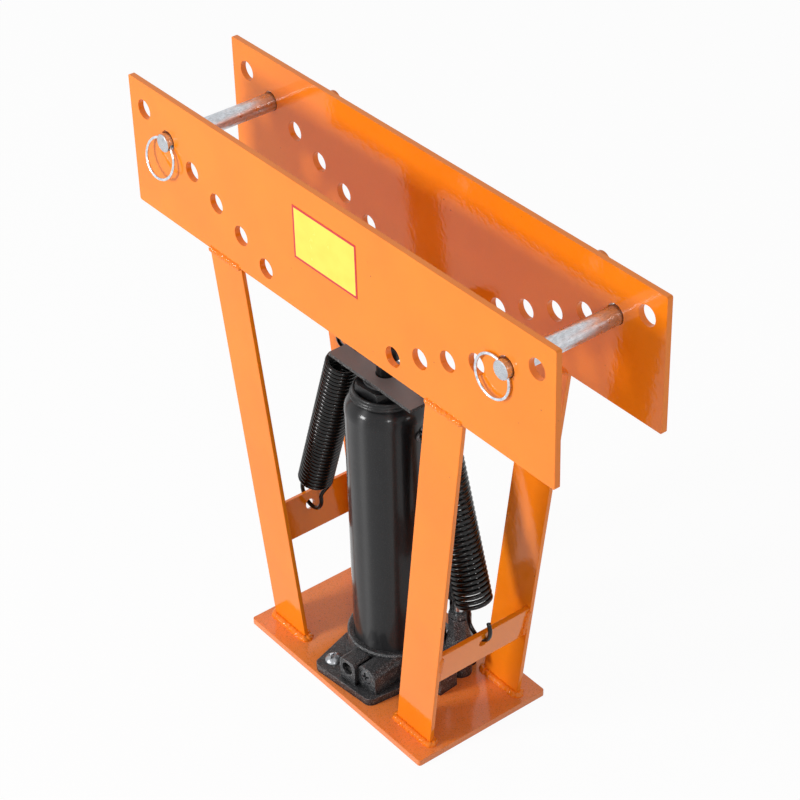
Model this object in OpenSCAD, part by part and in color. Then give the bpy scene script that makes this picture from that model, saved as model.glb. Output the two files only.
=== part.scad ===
// Upright hydraulic pipe bender with a bottle jack, two return springs and two movable roller pins.
// Origin: centre of the base plate's underside. X runs along the side plates, -Y is the front.

/* [Side plates] */
// Length of each side plate
plate_len = 610; // [560:1:680]
// Height of each side plate
plate_h = 136; // [132:1:160]
// Thickness of each side plate
plate_t = 6; // [5:0.5:8]
// Free gap between the two side plates
plate_gap = 112.5; // [108:0.5:124]
// Height of the side plates' top edge above the floor
top_z = 558; // [540:1:600]
// Corner radius of the side plates
plate_corner_r = 2; // [1:0.5:6]

/* [Roller holes] */
// Diameter of the roller pin holes
hole_d = 20; // [19:0.5:24]
// Number of holes on each side of the middle
hole_count = 6; // [3:1:7]
// Distance of the outermost holes from the plates' ends
hole_end = 23; // [16:0.5:40]
// Spacing of the holes along the plate
hole_pitch_x = 37.7; // [30:0.1:39]
// Depth of the outermost holes under the top edge
hole_first_drop = 28.6; // [22:0.2:32]
// Step down from one hole to the next
hole_pitch_z = 17.3; // [12:0.1:17.6]
// Hole that the roller pins sit in, counted from the outermost
pin_station = 1; // [0:1:2]

/* [Roller pins] */
// Diameter of the roller pins
pin_d = 18; // [16:0.5:18.5]
// Length of the roller pins
pin_len = 137; // [135:0.5:160]
// Distance of a pin's cross hole from the front plate's face
ring_hole_front = 1.75; // [1.75:0.05:4]
// Distance from the cross hole to the pin's front tip
pin_nose = 4.85; // [4.75:0.05:7]
// Chamfer on the pin ends
pin_chamfer = 0.8; // [0.4:0.1:1.2]
// Gap left under a pin that rests in its holes
pin_rest_gap = 0.05; // [0.02:0.01:0.1]
// Radius of the pull rings at the middle of the wire
ring_r = 20.3; // [18:0.1:24]
// Wire diameter of the pull rings
ring_wire_d = 2.8; // [2:0.1:3]
// Clearance of the ring wire in its cross hole
ring_clear = 0.25; // [0.15:0.05:0.3]
// Slope of the left pin's cross hole, seen from the front
left_ring_slope = -19.4; // [-80:0.2:80]
// Slope of the right pin's cross hole, seen from the front
right_ring_slope = -44; // [-80:0.2:80]
// Angle of the left ring away from the plate
left_ring_swing = 12.4; // [0:0.2:60]
// Angle of the right ring away from the plate
right_ring_swing = 3; // [0:0.2:60]

/* [Base plate] */
// Length of the base plate
base_len = 274; // [262:1:320]
// Width of the base plate
base_w = 158; // [152:1:190]
// Thickness of the base plate
base_t = 7; // [6:0.5:10]
// Corner radius of the base plate
base_corner_r = 3; // [1:0.5:8]

/* [Legs] */
// Width of the legs' flat bar
leg_w = 50; // [40:1:56]
// Thickness of the legs' flat bar
leg_t = 4.5; // [4:0.25:6]
// Outer edge of a leg at the side plate, from the middle
leg_top_x = 187.2; // [180:0.2:200]
// Outer edge of a leg at the base plate, from the middle
leg_foot_x = 125.3; // [123:0.1:128]
// How much nearer the middle plane a leg stands at its foot than at its top
leg_foot_inset = 4.5; // [2:0.25:6]

/* [Spring bars] */
// Height of the flat bars that hold the springs' lower ends
bar_h = 41.6; // [38:0.2:50]
// Thickness of these bars
bar_t = 5; // [4:0.25:6]
// Tilt of these bars away from upright
bar_tilt = 14; // [10:0.5:18]
// Depth of the hook hole under the bar's top edge
bar_hole_drop = 13.9; // [12:0.1:16]
// Diameter of the hook holes in the bars
bar_hole_d = 11; // [10.5:0.25:13]
// Hook hole from the middle, on the bar's inner face
bar_hole_x = 134.5; // [132:0.1:136]
// Height of the hook hole above the floor
bar_hole_z = 116; // [114:0.5:120]

/* [Rear pegs and label] */
// Diameter of the two pegs behind the rear plate
peg_d = 20; // [16:0.5:24]
// Length of the pegs
peg_len = 31; // [20:0.5:40]
// Distance of the pegs inwards from the outermost holes
peg_inset = 93.3; // [86:0.1:100]
// Depth of the pegs' centre under the top edge
peg_drop = 35; // [30:0.5:40]
// Width of the label panel
label_w = 92; // [60:1:120]
// Height of the label panel
label_h = 54.5; // [40:0.5:70]
// Depth of the label's middle under the top edge
label_drop = 52.3; // [48:0.1:60]
// Thickness of the label panel
label_t = 0.3; // [0.2:0.05:0.6]

/* [Weld beads] */
// Radius of the beads round the legs' feet
foot_bead_r = 4.5; // [3:0.25:6]
// Radius of the beads between legs and side plates
top_bead_r = 3; // [2:0.25:4]
// Radius of the beads at the spring bars' ends
bar_bead_r = 2.5; // [1.5:0.25:3.5]

/* [Jack] */
// How far the jack is turned on the base plate
jack_turn = 5.4; // [0:0.2:7]
// Outer diameter of the oil tank
tank_d = 81; // [78:0.5:82]
// Wall of the oil tank
tank_wall = 3; // [2:0.25:5]
// Height where the tank's shoulder begins
tank_shoulder_z = 311; // [300:0.5:313]
// Height of the tank's top rim
tank_top_z = 329; // [328:0.5:331]
// Radius of the round shoulder
shoulder_r = 18; // [14:0.5:18]
// Diameter of the base casting's collar
collar_d = 94; // [90:0.5:96]
// Height of the collar's top
collar_top_z = 44; // [43:0.5:50]
// Thickness of the casting's flange
flange_t = 8; // [6:0.5:10]
// Half width of the flange at its front edge
flange_front_w = 41.7; // [38:0.1:44]
// Half width of the flange beside the collar
flange_mid_w = 51; // [48:0.5:54]
// Front edge of the flange from the jack's axis
flange_front = 73.2; // [71:0.2:74]
// Rear edge of the flange from the jack's axis
flange_rear = 62; // [61:0.5:64]
// Corner radius of the flange
flange_corner_r = 8; // [5:0.5:10]
// Height of the casting's inner floor
casting_floor_z = 22; // [20:0.5:24]
// Bore of the pressure cylinder
cylinder_bore_d = 44; // [42:0.5:45]
// Outer diameter of the pressure cylinder
cylinder_d = 54; // [52:0.5:56]
// Thickness of the seals under the tank and the cylinder
seal_t = 2; // [1:0.25:3]
// Width of the gland nut across its corners
gland_d = 60; // [57:0.5:62]
// Height of the gland nut's six-sided head
gland_head_h = 14; // [12:0.5:14]
// Diameter of the ram
ram_d = 35; // [32:0.5:36]
// Stroke of the ram, which ends at the gland's sleeve
ram_stroke = 240; // [150:5:250]
// Diameter of the socket in the ram's top, for the saddle's stem
socket_d = 18; // [16:0.5:19]
// Depth of the socket in the ram's top
socket_depth = 32; // [20:1:40]
// Diameter of the saddle's head over the ram
saddle_d = 35; // [33:0.5:37]
// Height of the underside of the saddle's head
saddle_low_z = 371; // [370.5:0.5:373]
// Height of the saddle's head itself
saddle_h = 14.5; // [13:0.5:16]
// Diameter of the socket in the saddle's top, for a die's stem
die_socket_d = 12; // [10:0.5:13]
// Depth of the socket in the saddle's top
die_socket_depth = 20; // [14:1:24]
// Height of the piston
piston_h = 20; // [16:0.5:22]
// Gap between piston and casting floor when the ram is down
piston_rest_gap = 4; // [2:0.5:5]
// Radial play of running fits in the jack
running_clear = 0.06; // [0.03:0.01:0.1]
// Radial play of seated round parts
seat_clear = 0.15; // [0.1:0.05:0.2]

/* [Crosshead] */
// Length of the spring crosshead
crosshead_len = 123; // [121:0.5:126]
// Width of the spring crosshead
crosshead_w = 41; // [38:0.5:48]
// Thickness of the spring crosshead
crosshead_t = 3.5; // [3:0.25:4]
// Height of the ram's top, on which the crosshead lies
ram_top_z = 345.8; // [345.5:0.1:347]
// Diameter of the crosshead's middle hole
crosshead_hole_d = 19.2; // [19.2:0.2:24]
// Diameter of the crosshead's hook holes
crosshead_hook_d = 9; // [8.5:0.25:10]

/* [Return springs] */
// Wire diameter of the springs
spring_wire_d = 4.2; // [3.5:0.1:4.4]
// Radius of the springs' coils at the middle of the wire
spring_r = 16.1; // [15:0.1:17]
// Number of curls in each spring
spring_curls = 35; // [33:1:36]
// Distance from one curl to the next
spring_pitch = 5.07; // [4.9:0.01:5.12]
// Tilt of each spring towards the jack
spring_tilt = 17.6; // [16.5:0.1:18]
// Lean of the springs towards the rear
spring_lean = 1.1; // [0.6:0.1:1.2]
// Depth of the upper hooks' middle under the crosshead's top face
hook_sink = 2; // [0:0.5:4]
// Height of the lower hook's far side over the hook hole's middle
hook_seat_rise = 0.8; // [0.4:0.05:0.8]

/* [Release valve and screws] */
// Release valve's place across the valve block
valve_x = 3.5; // [2:0.5:5]
// Height of the release valve and the overload plug
valve_z = 31; // [30:0.5:33]
// Diameter of the release valve's head
valve_head_d = 13.4; // [12:0.2:13.6]
// Diameter of the release valve's stem
valve_stem_d = 8; // [6:0.5:9]
// Overload plug's place across the valve block
plug_x = 25; // [24.5:0.25:26]
// Diameter of the overload plug's head
plug_head_d = 15.6; // [13:0.2:16]
// Diameter of the jack screws' heads
screw_head_d = 18.5; // [17:0.5:19]
// Height of the jack screws' heads
screw_head_h = 5.5; // [4.5:0.25:6.5]
// Diameter of the jack screws
screw_d = 8; // [6:0.5:10]
// Diameter of the filler plug's head
filler_head_d = 9; // [8:0.5:12]
// Height of the filler plug
filler_z = 296; // [280:1:300]
// Direction of the filler plug, from the jack's own X axis
filler_dir = 3.5; // [-20:0.5:20]

/* [Pump] */
// Pump axis along the jack's own X axis
pump_x = 65; // [64:0.25:66]
// Pump axis along the jack's own Y axis
pump_y = 27.5; // [27:0.25:28]
// Diameter of the pump tower
pump_d = 23; // [21:0.5:24]
// Height of the pump tower's top
pump_top_z = 80; // [76:0.5:81]
// Diameter of the pump plunger
plunger_d = 13.9; // [12:0.1:14]
// Lever arm from the fulcrum pin to the pump axis
lever_arm = 18; // [17:0.25:18.5]
// Height of the fulcrum pin
fulcrum_z = 104; // [103:0.5:106]
// Diameter of the fulcrum pin
fulcrum_d = 8; // [6:0.5:8.5]
// Diameter of the plunger's cross pin
cross_pin_d = 6; // [5:0.25:6.5]
// Angle of the handle socket above level when it is raised
socket_angle = 80; // [76:1:82]
// How far the handle socket swings down
handle_swing = 32; // [26:1:32]
// Bore of the handle socket
handle_bore_d = 26; // [22:0.5:26.5]
// Wall of the handle socket
handle_wall = 2; // [1.5:0.25:2]
// Length of the handle socket
handle_len = 54; // [48:1:56]
// Play between the moving cheeks and their neighbours
cheek_clear = 0.3; // [0.25:0.05:0.4]

/* [Hidden] */
$fn = 64;
eps_cut = 1;          // how far a cutting solid runs past what it cuts
far = 400;            // longer than any part that a cutting solid has to clear

plate_bottom_z = top_z - plate_h;
plate_mid_y = plate_gap / 2 + plate_t / 2;
plate_face_y = plate_gap / 2 + plate_t;

hole_first_x = plate_len / 2 - hole_end;
peg_x = hole_first_x - peg_inset;

pin_r = pin_d / 2;
pin_x = hole_first_x - pin_station * hole_pitch_x;
pin_hole_z = top_z - hole_first_drop - pin_station * hole_pitch_z;
pin_z = pin_hole_z - (hole_d / 2 - pin_r) + pin_rest_gap;
ring_hole_y = -plate_face_y - ring_hole_front;
pin_tip_y = ring_hole_y - pin_nose;

leg_h = plate_bottom_z - base_t;
leg_top_y = plate_mid_y;
leg_foot_y = leg_top_y - leg_foot_inset;
leg_lean = atan(leg_foot_inset / leg_h);
leg_rake = atan((leg_top_x - leg_foot_x) / leg_h);
leg_run = leg_w / cos(leg_rake);      // level width of a leg
leg_over = 12;                        // extra leg length that the level end cuts take off
foot_bead_over = 2;                   // how far a foot bead runs past the leg's edges
foot_end_step = 0.8;                  // how much thinner the beads are at those edges
bar_bead_short = 3;                   // how far a bar's bead ends below and above its edges

crosshead_z = ram_top_z + crosshead_t;
crosshead_corner_r = 1;

// Spring frame: the axis climbs inwards from the hook hole in the bar to the crosshead's end
bar_mid_x = bar_hole_x + bar_t / 2 * cos(bar_tilt);
bar_mid_z = bar_hole_z - bar_t / 2 * sin(bar_tilt);
coil_from = -130;                     // angle where the coil leaves the lower hook's lead
coil_to = 360 * spring_curls - 50;    // angle where it meets the upper hook's lead
spring_len = (coil_to - coil_from) / 360 * spring_pitch;
lower_hook_lead = 7.8;                // wire's way along the axis from the coil to the lower hook
lower_hook_drop = spring_r + lower_hook_lead;
spring_low = lower_hook_drop + spring_r + hook_seat_rise;

// The upper hook's middle lies on the axis, hook_sink under the crosshead's top face
upper_hook_z = crosshead_z - hook_sink;
hook_reach = (upper_hook_z - bar_mid_z) / (cos(spring_tilt) * cos(spring_lean));
upper_hook_rise = hook_reach - spring_low - spring_len;
upper_hook_x = bar_mid_x - hook_reach * sin(spring_tilt);
// The hook hole lies where the upper hook's inner side passes the crosshead
hook_side_z = crosshead_z - crosshead_t / 2;
hook_side_dz = (hook_side_z - upper_hook_z) / cos(spring_lean);
crosshead_hook_y = (hook_side_z - bar_mid_z) * tan(spring_lean);
crosshead_hook_x = upper_hook_x - sqrt(spring_r * spring_r - hook_side_dz * hook_side_dz);

// Jack stack, from the casting floor upwards
flange_top_z = base_t + flange_t;
tank_r = tank_d / 2;
neck_clear = 0.5;
neck_wall = 4;
neck_r = cylinder_d / 2 + neck_clear; // bore of the tank's neck
gland_thread_h = 11;                  // gland's threaded length in the neck
cylinder_z = casting_floor_z + seal_t;
cylinder_top_z = tank_top_z - gland_thread_h;
piston_z = casting_floor_z + piston_rest_gap;
piston_top_z = piston_z + piston_h;
stop_gap = 0.5;                       // piston to sleeve at the end of the stroke
sleeve_low_z = piston_top_z + ram_stroke + stop_gap;
gland_chamfer = 2;
saddle_chamfer = 1;
groove_h = 6;                         // piston ring groove
groove_depth = 4;
wiper_t = 2;
wiper_wall = 4;
wiper_z = tank_top_z + gland_head_h;

// Valve block in front of the collar, in the jack's own frame
block_top_z = 41;
block_left_x = -7;
block_split_x = 14;
block_right_x = 38;
block_left_y = -68;
block_right_y = -63;
block_back_y = -20;
block_left_r = 4;
block_right_r = 9;
collar_chamfer = 1.5;
collar_foot = 2.5;                    // how far the collar's sloping foot stands out
valve_recess = 9;                     // depth of the head's bore
valve_head_t = 5;
valve_head_clear = 0.3;
valve_bore_end_y = -50;
valve_end_gap = 0.3;
valve_slot_depth = 2.5;
valve_slot_w = 3;
ball_r = 3;
ball_pocket_r = 3.5;
ball_pocket_len = 7;
plug_head_t = 3;
plug_shank_d = 10;
plug_shank_len = 11;
cross_w = 1.6;                        // arm width of the cross recesses
cross_depth = 1.6;
cross_span = 0.55;                    // arm length of the recesses, as a part of the head
filler_seat = 0.05;                   // gap under the filler plug's head
filler_head_h = 2.5;
filler_step = 1;                      // head's edge round the shank
filler_inside = 1;                    // shank's reach past the tank's wall
screw_spots = [[-30.3, -55.6], [-36, 49], [28, 52.5]];
screw_floor = 1;                      // base plate left under a screw's tip

// Pump, in the jack's own frame
pad_top_z = 34;
pad_front = [40, -13, 77.5, 10];      // low x, low y, high x, high y
pad_rear = [38, 0, 68.5, 46];
tower_foot_r = 19;
tower_foot_h = 26;
well_floor_z = 21;
packing_h = 6;
packing_seal_t = 3;
packing_wall = 3;
plunger_low_gap = 2;                  // plunger to well floor when it is down
tongue_low_gap = 2;                   // tongue to packing nut when it is down
fulcrum_over = 1;                     // how far the fulcrum pin stands out of the ears
fulcrum_x = pump_x - lever_arm;
half_swing = handle_swing / 2;
cross_pin_z = fulcrum_z + lever_arm * tan(half_swing);
plunger_travel = 2 * lever_arm * tan(half_swing);
slot_clear = 0.15;                    // cross pin in the cheeks' slots
slot_end_clear = 0.2;
tongue_w = 9;
tongue_top_r = 5.5;
cheek_t = 4;
cheek_boss_r = 6.5;
cheek_lap = 2;                        // how far the cheeks run into the socket's end
tongue_clear = 0.7;
cheek_in = tongue_w / 2 + tongue_clear; // cheeks' inner faces from the pump axis plane
cheek_out = cheek_in + cheek_t;
ear_t = 4.5;
ear_in = cheek_out + cheek_clear;
ear_out = ear_in + ear_t;
ear_r = 5.4;
ear_foot_l = 40.9;
ear_foot_r = 60;
ear_neck_drop = 30;                   // from the fulcrum to where the ears start to widen
pad_step = 6;                         // how much lower the pad's front part is
handle_r = handle_bore_d / 2 + handle_wall;
socket_root = [5, 2];                 // the socket axis passes this far from the fulcrum
socket_start = 34;                    // from that point to the socket's closed end
socket_floor = 5;

// Sides, rings and steps of the swept springs
wire_sides = 6;
curl_rings = 8;
hook_steps = 18;
lead_steps = 5;
curl_step = 360 / curl_rings;

orange = [1.0, 0.53, 0.1];
weld_orange = [0.93, 0.46, 0.1];
gloss_black = [0.08, 0.08, 0.09];
cast_black = [0.16, 0.16, 0.17];
zinc = [0.72, 0.74, 0.76];
steel = [0.62, 0.64, 0.66];
yellow = [0.95, 0.8, 0.1];
rubber_grey = [0.35, 0.36, 0.37];
crosshead_black = [0.2, 0.19, 0.19];

// A level rectangle with round corners, drawn round the origin
module round_rect(w, h, r) {
    square([w - 2 * r, h], center = true);
    square([w, h - 2 * r], center = true);
    for (x = [-1, 1], y = [-1, 1])
        translate([x * (w / 2 - r), y * (h / 2 - r)])
            circle(r);
}

// Everything of the jack is drawn in the jack's own frame
module in_jack() {
    rotate([0, 0, jack_turn])
        children();
}

// A round solid between two heights
module post(r, z0, z1) {
    translate([0, 0, z0])
        cylinder(r = r, h = z1 - z0);
}

// A round ring between two heights
module tube(r_out, r_in, z0, z1) {
    difference() {
        post(r_out, z0, z1);
        post(r_in, z0 - eps_cut, z1 + eps_cut);
    }
}

// A round solid along Y, from y0 to y1
module bar_y(r, y0, y1) {
    translate([0, y1, 0])
        rotate([90, 0, 0])
            cylinder(r = r, h = y1 - y0);
}

// Side plate round the origin's XZ plane, with its V of roller holes
module side_plate_blank() {
    translate([0, plate_t / 2, 0])
        rotate([90, 0, 0])
            linear_extrude(plate_t)
                translate([0, top_z - plate_h / 2])
                    round_rect(plate_len, plate_h, plate_corner_r);
}

module roller_holes() {
    for (side = [-1, 1], k = [0 : hole_count - 1])
        translate([side * (hole_first_x - k * hole_pitch_x), 0,
                   top_z - hole_first_drop - k * hole_pitch_z])
            bar_y(hole_d / 2, -plate_t, plate_t);
}

module side_plate() {
    difference() {
        side_plate_blank();
        roller_holes();
    }
}

module front_side_plate() {
    color(orange)
        translate([0, -plate_mid_y, 0])
            side_plate();
}

module rear_side_plate() {
    color(orange)
        translate([0, plate_mid_y, 0])
            side_plate();
}

module base_plate() {
    color(orange)
        difference() {
            linear_extrude(base_t)
                round_rect(base_len, base_w, base_corner_r);
            in_jack()
                for (spot = screw_spots)
                    translate([spot[0], spot[1], 0])
                        post(screw_d / 2 + running_clear, screw_floor, base_t + eps_cut);
        }
}

// Frame of a leg at +X and +Y: its own plane leans out with height
module leg_frame() {
    translate([0, leg_foot_y, base_t])
        rotate([-leg_lean, 0, 0])
            children();
}

module leg_bar() {
    over_x = leg_over * tan(leg_rake);
    long_z = leg_h + leg_over;
    leg_frame()
        translate([0, leg_t / 2, 0])
            rotate([90, 0, 0])
                linear_extrude(leg_t)
                    polygon([[leg_foot_x - leg_run - over_x, -leg_over],
                             [leg_foot_x - over_x, -leg_over],
                             [leg_top_x + over_x, long_z],
                             [leg_top_x - leg_run + over_x, long_z]]);
}

module leg_blank() {
    intersection() {
        leg_bar();
        translate([0, 0, base_t])
            cube([far, far, leg_h]);
    }
}

// Copies a +X +Y shape into one of the four quarters
module quarter(sx, sy) {
    mirror([sx < 0 ? 1 : 0, 0, 0])
        mirror([0, sy < 0 ? 1 : 0, 0])
            children();
}

module front_left_leg() {
    color(orange)
        quarter(-1, -1)
            leg_blank();
}

module front_right_leg() {
    color(orange)
        quarter(1, -1)
            leg_blank();
}

module rear_left_leg() {
    color(orange)
        quarter(-1, 1)
            leg_blank();
}

module rear_right_leg() {
    color(orange)
        quarter(1, 1)
            leg_blank();
}

// Everything outside the inner face of a +Y leg
module outside_leg_face() {
    leg_frame()
        translate([-far, -leg_t / 2, -far])
            cube([2 * far, far, 3 * far]);
}

// Frame of the right bar: origin at the hook hole on the inner face, X outwards, Z up the bar
module bar_frame() {
    translate([bar_hole_x, 0, bar_hole_z])
        rotate([0, bar_tilt, 0])
            children();
}

module spring_bar_blank() {
    difference() {
        bar_frame()
            translate([0, -plate_gap / 2, bar_hole_drop - bar_h])
                cube([bar_t, plate_gap, bar_h]);
        outside_leg_face();
        mirror([0, 1, 0])
            outside_leg_face();
        bar_frame()
            rotate([0, 90, 0])
                post(bar_hole_d / 2, -eps_cut, bar_t + eps_cut);
    }
}

module right_spring_bar() {
    color(orange)
        spring_bar_blank();
}

module left_spring_bar() {
    color(orange)
        mirror([1, 0, 0])
            spring_bar_blank();
}

// Two round pegs welded behind the rear plate, on which the bender can lie
module rear_pegs() {
    color(orange)
        for (side = [-1, 1])
            translate([side * peg_x, 0, top_z - peg_drop])
                bar_y(peg_d / 2, plate_face_y, plate_face_y + peg_len);
}

module label_panel() {
    color(yellow)
        translate([-label_w / 2, -plate_face_y - label_t, top_z - label_drop - label_h / 2])
            cube([label_w, label_t, label_h]);
}

// Bead along both faces and both edges of a leg's foot
module foot_bead() {
    mid_x = leg_foot_x - leg_run / 2;
    face_y = [leg_foot_y - leg_t / 2, leg_foot_y + leg_t / 2];
    edge_x = [leg_foot_x - leg_run, leg_foot_x];
    edge_bead_r = foot_bead_r - foot_end_step;
    difference() {
        union() {
            for (y = face_y)
                translate([mid_x - leg_run / 2 - foot_bead_over, y, base_t])
                    rotate([0, 90, 0])
                        cylinder(r = foot_bead_r, h = leg_run + 2 * foot_bead_over);
            for (x = edge_x)
                translate([x, 0, base_t])
                    bar_y(edge_bead_r, leg_foot_y - leg_t, leg_foot_y + leg_t);
        }
        leg_bar();
        translate([0, 0, base_t - far])
            cube([far, far, far]);
    }
}

module foot_welds() {
    color(weld_orange)
        for (sx = [-1, 1], sy = [-1, 1])
            quarter(sx, sy)
                foot_bead();
}

// Beads in front of and behind a leg, under the side plate's edge
module top_bead() {
    mid_x = leg_top_x - leg_run / 2;
    difference() {
        for (y = [leg_top_y - leg_t / 2, leg_top_y + leg_t / 2])
            translate([mid_x - leg_run / 2, y, plate_bottom_z])
                rotate([0, 90, 0])
                    cylinder(r = top_bead_r, h = leg_run);
        leg_bar();
        translate([0, plate_gap / 2, plate_bottom_z])
            cube([far, plate_t, far]);
    }
}

module top_welds() {
    color(weld_orange)
        for (sx = [-1, 1], sy = [-1, 1])
            quarter(sx, sy)
                top_bead();
}

// Beads up both faces of a spring bar's end
module bar_bead() {
    bead_len = bar_h - 2 * bar_bead_short;
    end_y = leg_foot_y + (bar_hole_z - base_t) * tan(leg_lean) - leg_t / 2;
    difference() {
        bar_frame()
            for (x = [0, bar_t])
                translate([x, end_y, bar_hole_drop - bar_h / 2 - bead_len / 2])
                    cylinder(r = bar_bead_r, h = bead_len);
        bar_frame()
            translate([0, 0, -far / 2])
                cube([bar_t, far, far]);
        outside_leg_face();
    }
}

module bar_welds() {
    color(weld_orange)
        for (sx = [-1, 1], sy = [-1, 1])
            quarter(sx, sy)
                bar_bead();
}

// Flange outline: narrower in front, widest beside the collar
module flange_outline() {
    r = flange_corner_r;
    fx = flange_front_w - r;
    polygon([[-flange_front_w, -flange_front + r], [flange_front_w, -flange_front + r],
             [flange_mid_w, block_back_y], [flange_mid_w, flange_rear / 2],
             [flange_front_w, flange_rear], [-flange_front_w, flange_rear],
             [-flange_mid_w, flange_rear / 2], [-flange_mid_w, block_back_y]]);
    translate([-fx, -flange_front])
        square([2 * fx, 2 * r]);
    for (x = [-fx, fx])
        translate([x, -flange_front + r])
            circle(r);
}

// A box from a low corner to a high corner in plan, between two heights
module pad(box, z0, z1) {
    translate([box[0], box[1], z0])
        cube([box[2] - box[0], box[3] - box[1], z1 - z0]);
}

// One ear of the handle socket's fulcrum, drawn in the XZ plane
module ear_outline() {
    low_z = pad_top_z - eps_cut;
    neck_z = fulcrum_z - ear_neck_drop;
    polygon([[ear_foot_l, low_z], [ear_foot_r, low_z],
             [fulcrum_x + ear_r, neck_z], [fulcrum_x + ear_r, fulcrum_z],
             [fulcrum_x - ear_r, fulcrum_z], [ear_foot_l, neck_z]]);
    translate([fulcrum_x, fulcrum_z])
        circle(ear_r);
}

module upright_slab(y0, y1) {
    translate([0, y1, 0])
        rotate([90, 0, 0])
            linear_extrude(y1 - y0)
                children();
}

// Front view of a valve block with a rounded top
module block_outline(x0, x1, r) {
    translate([x0, base_t])
        square([x1 - x0, block_top_z - base_t - r]);
    translate([x0 + r, base_t])
        square([x1 - x0 - 2 * r, block_top_z - base_t]);
    for (x = [x0 + r, x1 - r])
        translate([x, block_top_z - r])
            circle(r);
}

module casting_solid() {
    translate([0, 0, base_t])
        linear_extrude(flange_t)
            flange_outline();
    post(collar_d / 2, base_t, collar_top_z - collar_chamfer);
    translate([0, 0, collar_top_z - collar_chamfer])
        cylinder(r1 = collar_d / 2, r2 = collar_d / 2 - collar_chamfer, h = collar_chamfer);
    translate([0, 0, flange_top_z])
        cylinder(r1 = collar_d / 2 + collar_foot, r2 = collar_d / 2, h = 3 * collar_foot);
    upright_slab(block_left_y, block_back_y)
        block_outline(block_left_x, block_split_x, block_left_r);
    upright_slab(block_right_y, block_back_y)
        block_outline(block_split_x - eps_cut, block_right_x, block_right_r);
    pad(pad_front, base_t, pad_top_z - pad_step);
    pad(pad_rear, base_t, pad_top_z);
    translate([pump_x, pump_y, 0]) {
        post(pump_d / 2, base_t, pump_top_z);
        translate([0, 0, pad_top_z])
            cylinder(r1 = tower_foot_r, r2 = pump_d / 2, h = tower_foot_h);
    }
    for (s = [-1, 1])
        upright_slab(pump_y + min(s * ear_in, s * ear_out), pump_y + max(s * ear_in, s * ear_out))
            ear_outline();
}

module jack_base_casting() {
    color(cast_black)
        in_jack()
            difference() {
                casting_solid();
                post(tank_r + seat_clear, casting_floor_z, far);
                translate([valve_x, 0, valve_z]) {
                    bar_y(valve_head_d / 2 + valve_head_clear, -far, block_left_y + valve_recess);
                    bar_y(valve_stem_d / 2 + running_clear, -far, valve_bore_end_y);
                    bar_y(ball_pocket_r, valve_bore_end_y - eps_cut,
                          valve_bore_end_y + ball_pocket_len);
                }
                translate([plug_x, 0, valve_z]) {
                    bar_y(plug_head_d / 2 + seat_clear, -far, block_right_y + plug_head_t);
                    bar_y(plug_shank_d / 2 + seat_clear, -far,
                          block_right_y + plug_head_t + plug_shank_len + seat_clear);
                }
                for (spot = screw_spots)
                    translate([spot[0], spot[1], 0])
                        post(screw_d / 2 + seat_clear, 0, flange_top_z + eps_cut);
                translate([pump_x, pump_y, 0]) {
                    post(plunger_d / 2 + running_clear, well_floor_z, far);
                    post(ball_pocket_r, well_floor_z - ball_pocket_len, well_floor_z + eps_cut);
                }
                translate([fulcrum_x, 0, fulcrum_z])
                    bar_y(fulcrum_d / 2, pump_y - ear_out - eps_cut, pump_y + ear_out + eps_cut);
            }
}

// Tank wall: straight tube, round shoulder, short neck
module tank_wall_profile() {
    cx = tank_r - shoulder_r;
    inner_r = shoulder_r - tank_wall;
    rim_r = neck_r + neck_wall;
    neck_a = acos((neck_r - cx) / inner_r);
    intersection() {
        union() {
            difference() {
                translate([cx, tank_shoulder_z])
                    circle(shoulder_r);
                translate([cx, tank_shoulder_z])
                    circle(inner_r);
                translate([cx - shoulder_r, tank_shoulder_z - far])
                    square([far, far]);
            }
            translate([tank_r - tank_wall, cylinder_z])
                square([tank_wall, tank_shoulder_z - cylinder_z]);
            translate([neck_r, tank_shoulder_z + inner_r * sin(neck_a)])
                square([rim_r - neck_r, tank_top_z - tank_shoulder_z - inner_r * sin(neck_a)]);
        }
        translate([neck_r, 0])
            square([far, far]);
    }
}

module oil_tank() {
    color(gloss_black)
        in_jack()
            difference() {
                rotate_extrude()
                    tank_wall_profile();
                rotate([0, 0, filler_dir])
                    translate([0, 0, filler_z])
                        rotate([0, 90, 0])
                            post(filler_head_d / 2 - filler_step + seat_clear, cylinder_d / 2, far);
            }
}

module pressure_cylinder() {
    color(steel)
        in_jack()
            tube(cylinder_d / 2, cylinder_bore_d / 2, cylinder_z, cylinder_top_z);
}

module tank_seal() {
    color(rubber_grey)
        in_jack()
            tube(tank_r, tank_r - tank_wall, casting_floor_z, cylinder_z);
}

module cylinder_seal() {
    color(rubber_grey)
        in_jack()
            tube(cylinder_d / 2, cylinder_bore_d / 2, casting_floor_z, cylinder_z);
}

// Six-sided head on the tank's rim, thread in the neck, sleeve in the cylinder
module gland_nut() {
    color(gloss_black)
        in_jack()
            difference() {
                union() {
                    intersection() {
                        translate([0, 0, tank_top_z])
                            cylinder(r = gland_d / 2, h = gland_head_h, $fn = 6);
                        union() {
                            post(gland_d / 2, tank_top_z, wiper_z - gland_chamfer);
                            translate([0, 0, wiper_z - gland_chamfer])
                                cylinder(r1 = gland_d / 2, r2 = gland_d / 2 - gland_chamfer,
                                         h = gland_chamfer);
                        }
                    }
                    post(neck_r - seat_clear, cylinder_top_z, tank_top_z);
                    post(cylinder_bore_d / 2 - seat_clear, sleeve_low_z, cylinder_top_z);
                }
                post(ram_d / 2 + running_clear, sleeve_low_z - eps_cut, far);
            }
}

module rod_wiper() {
    color(rubber_grey)
        in_jack()
            tube(ram_d / 2 + wiper_wall, ram_d / 2 + seat_clear, wiper_z, wiper_z + wiper_t);
}

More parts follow.
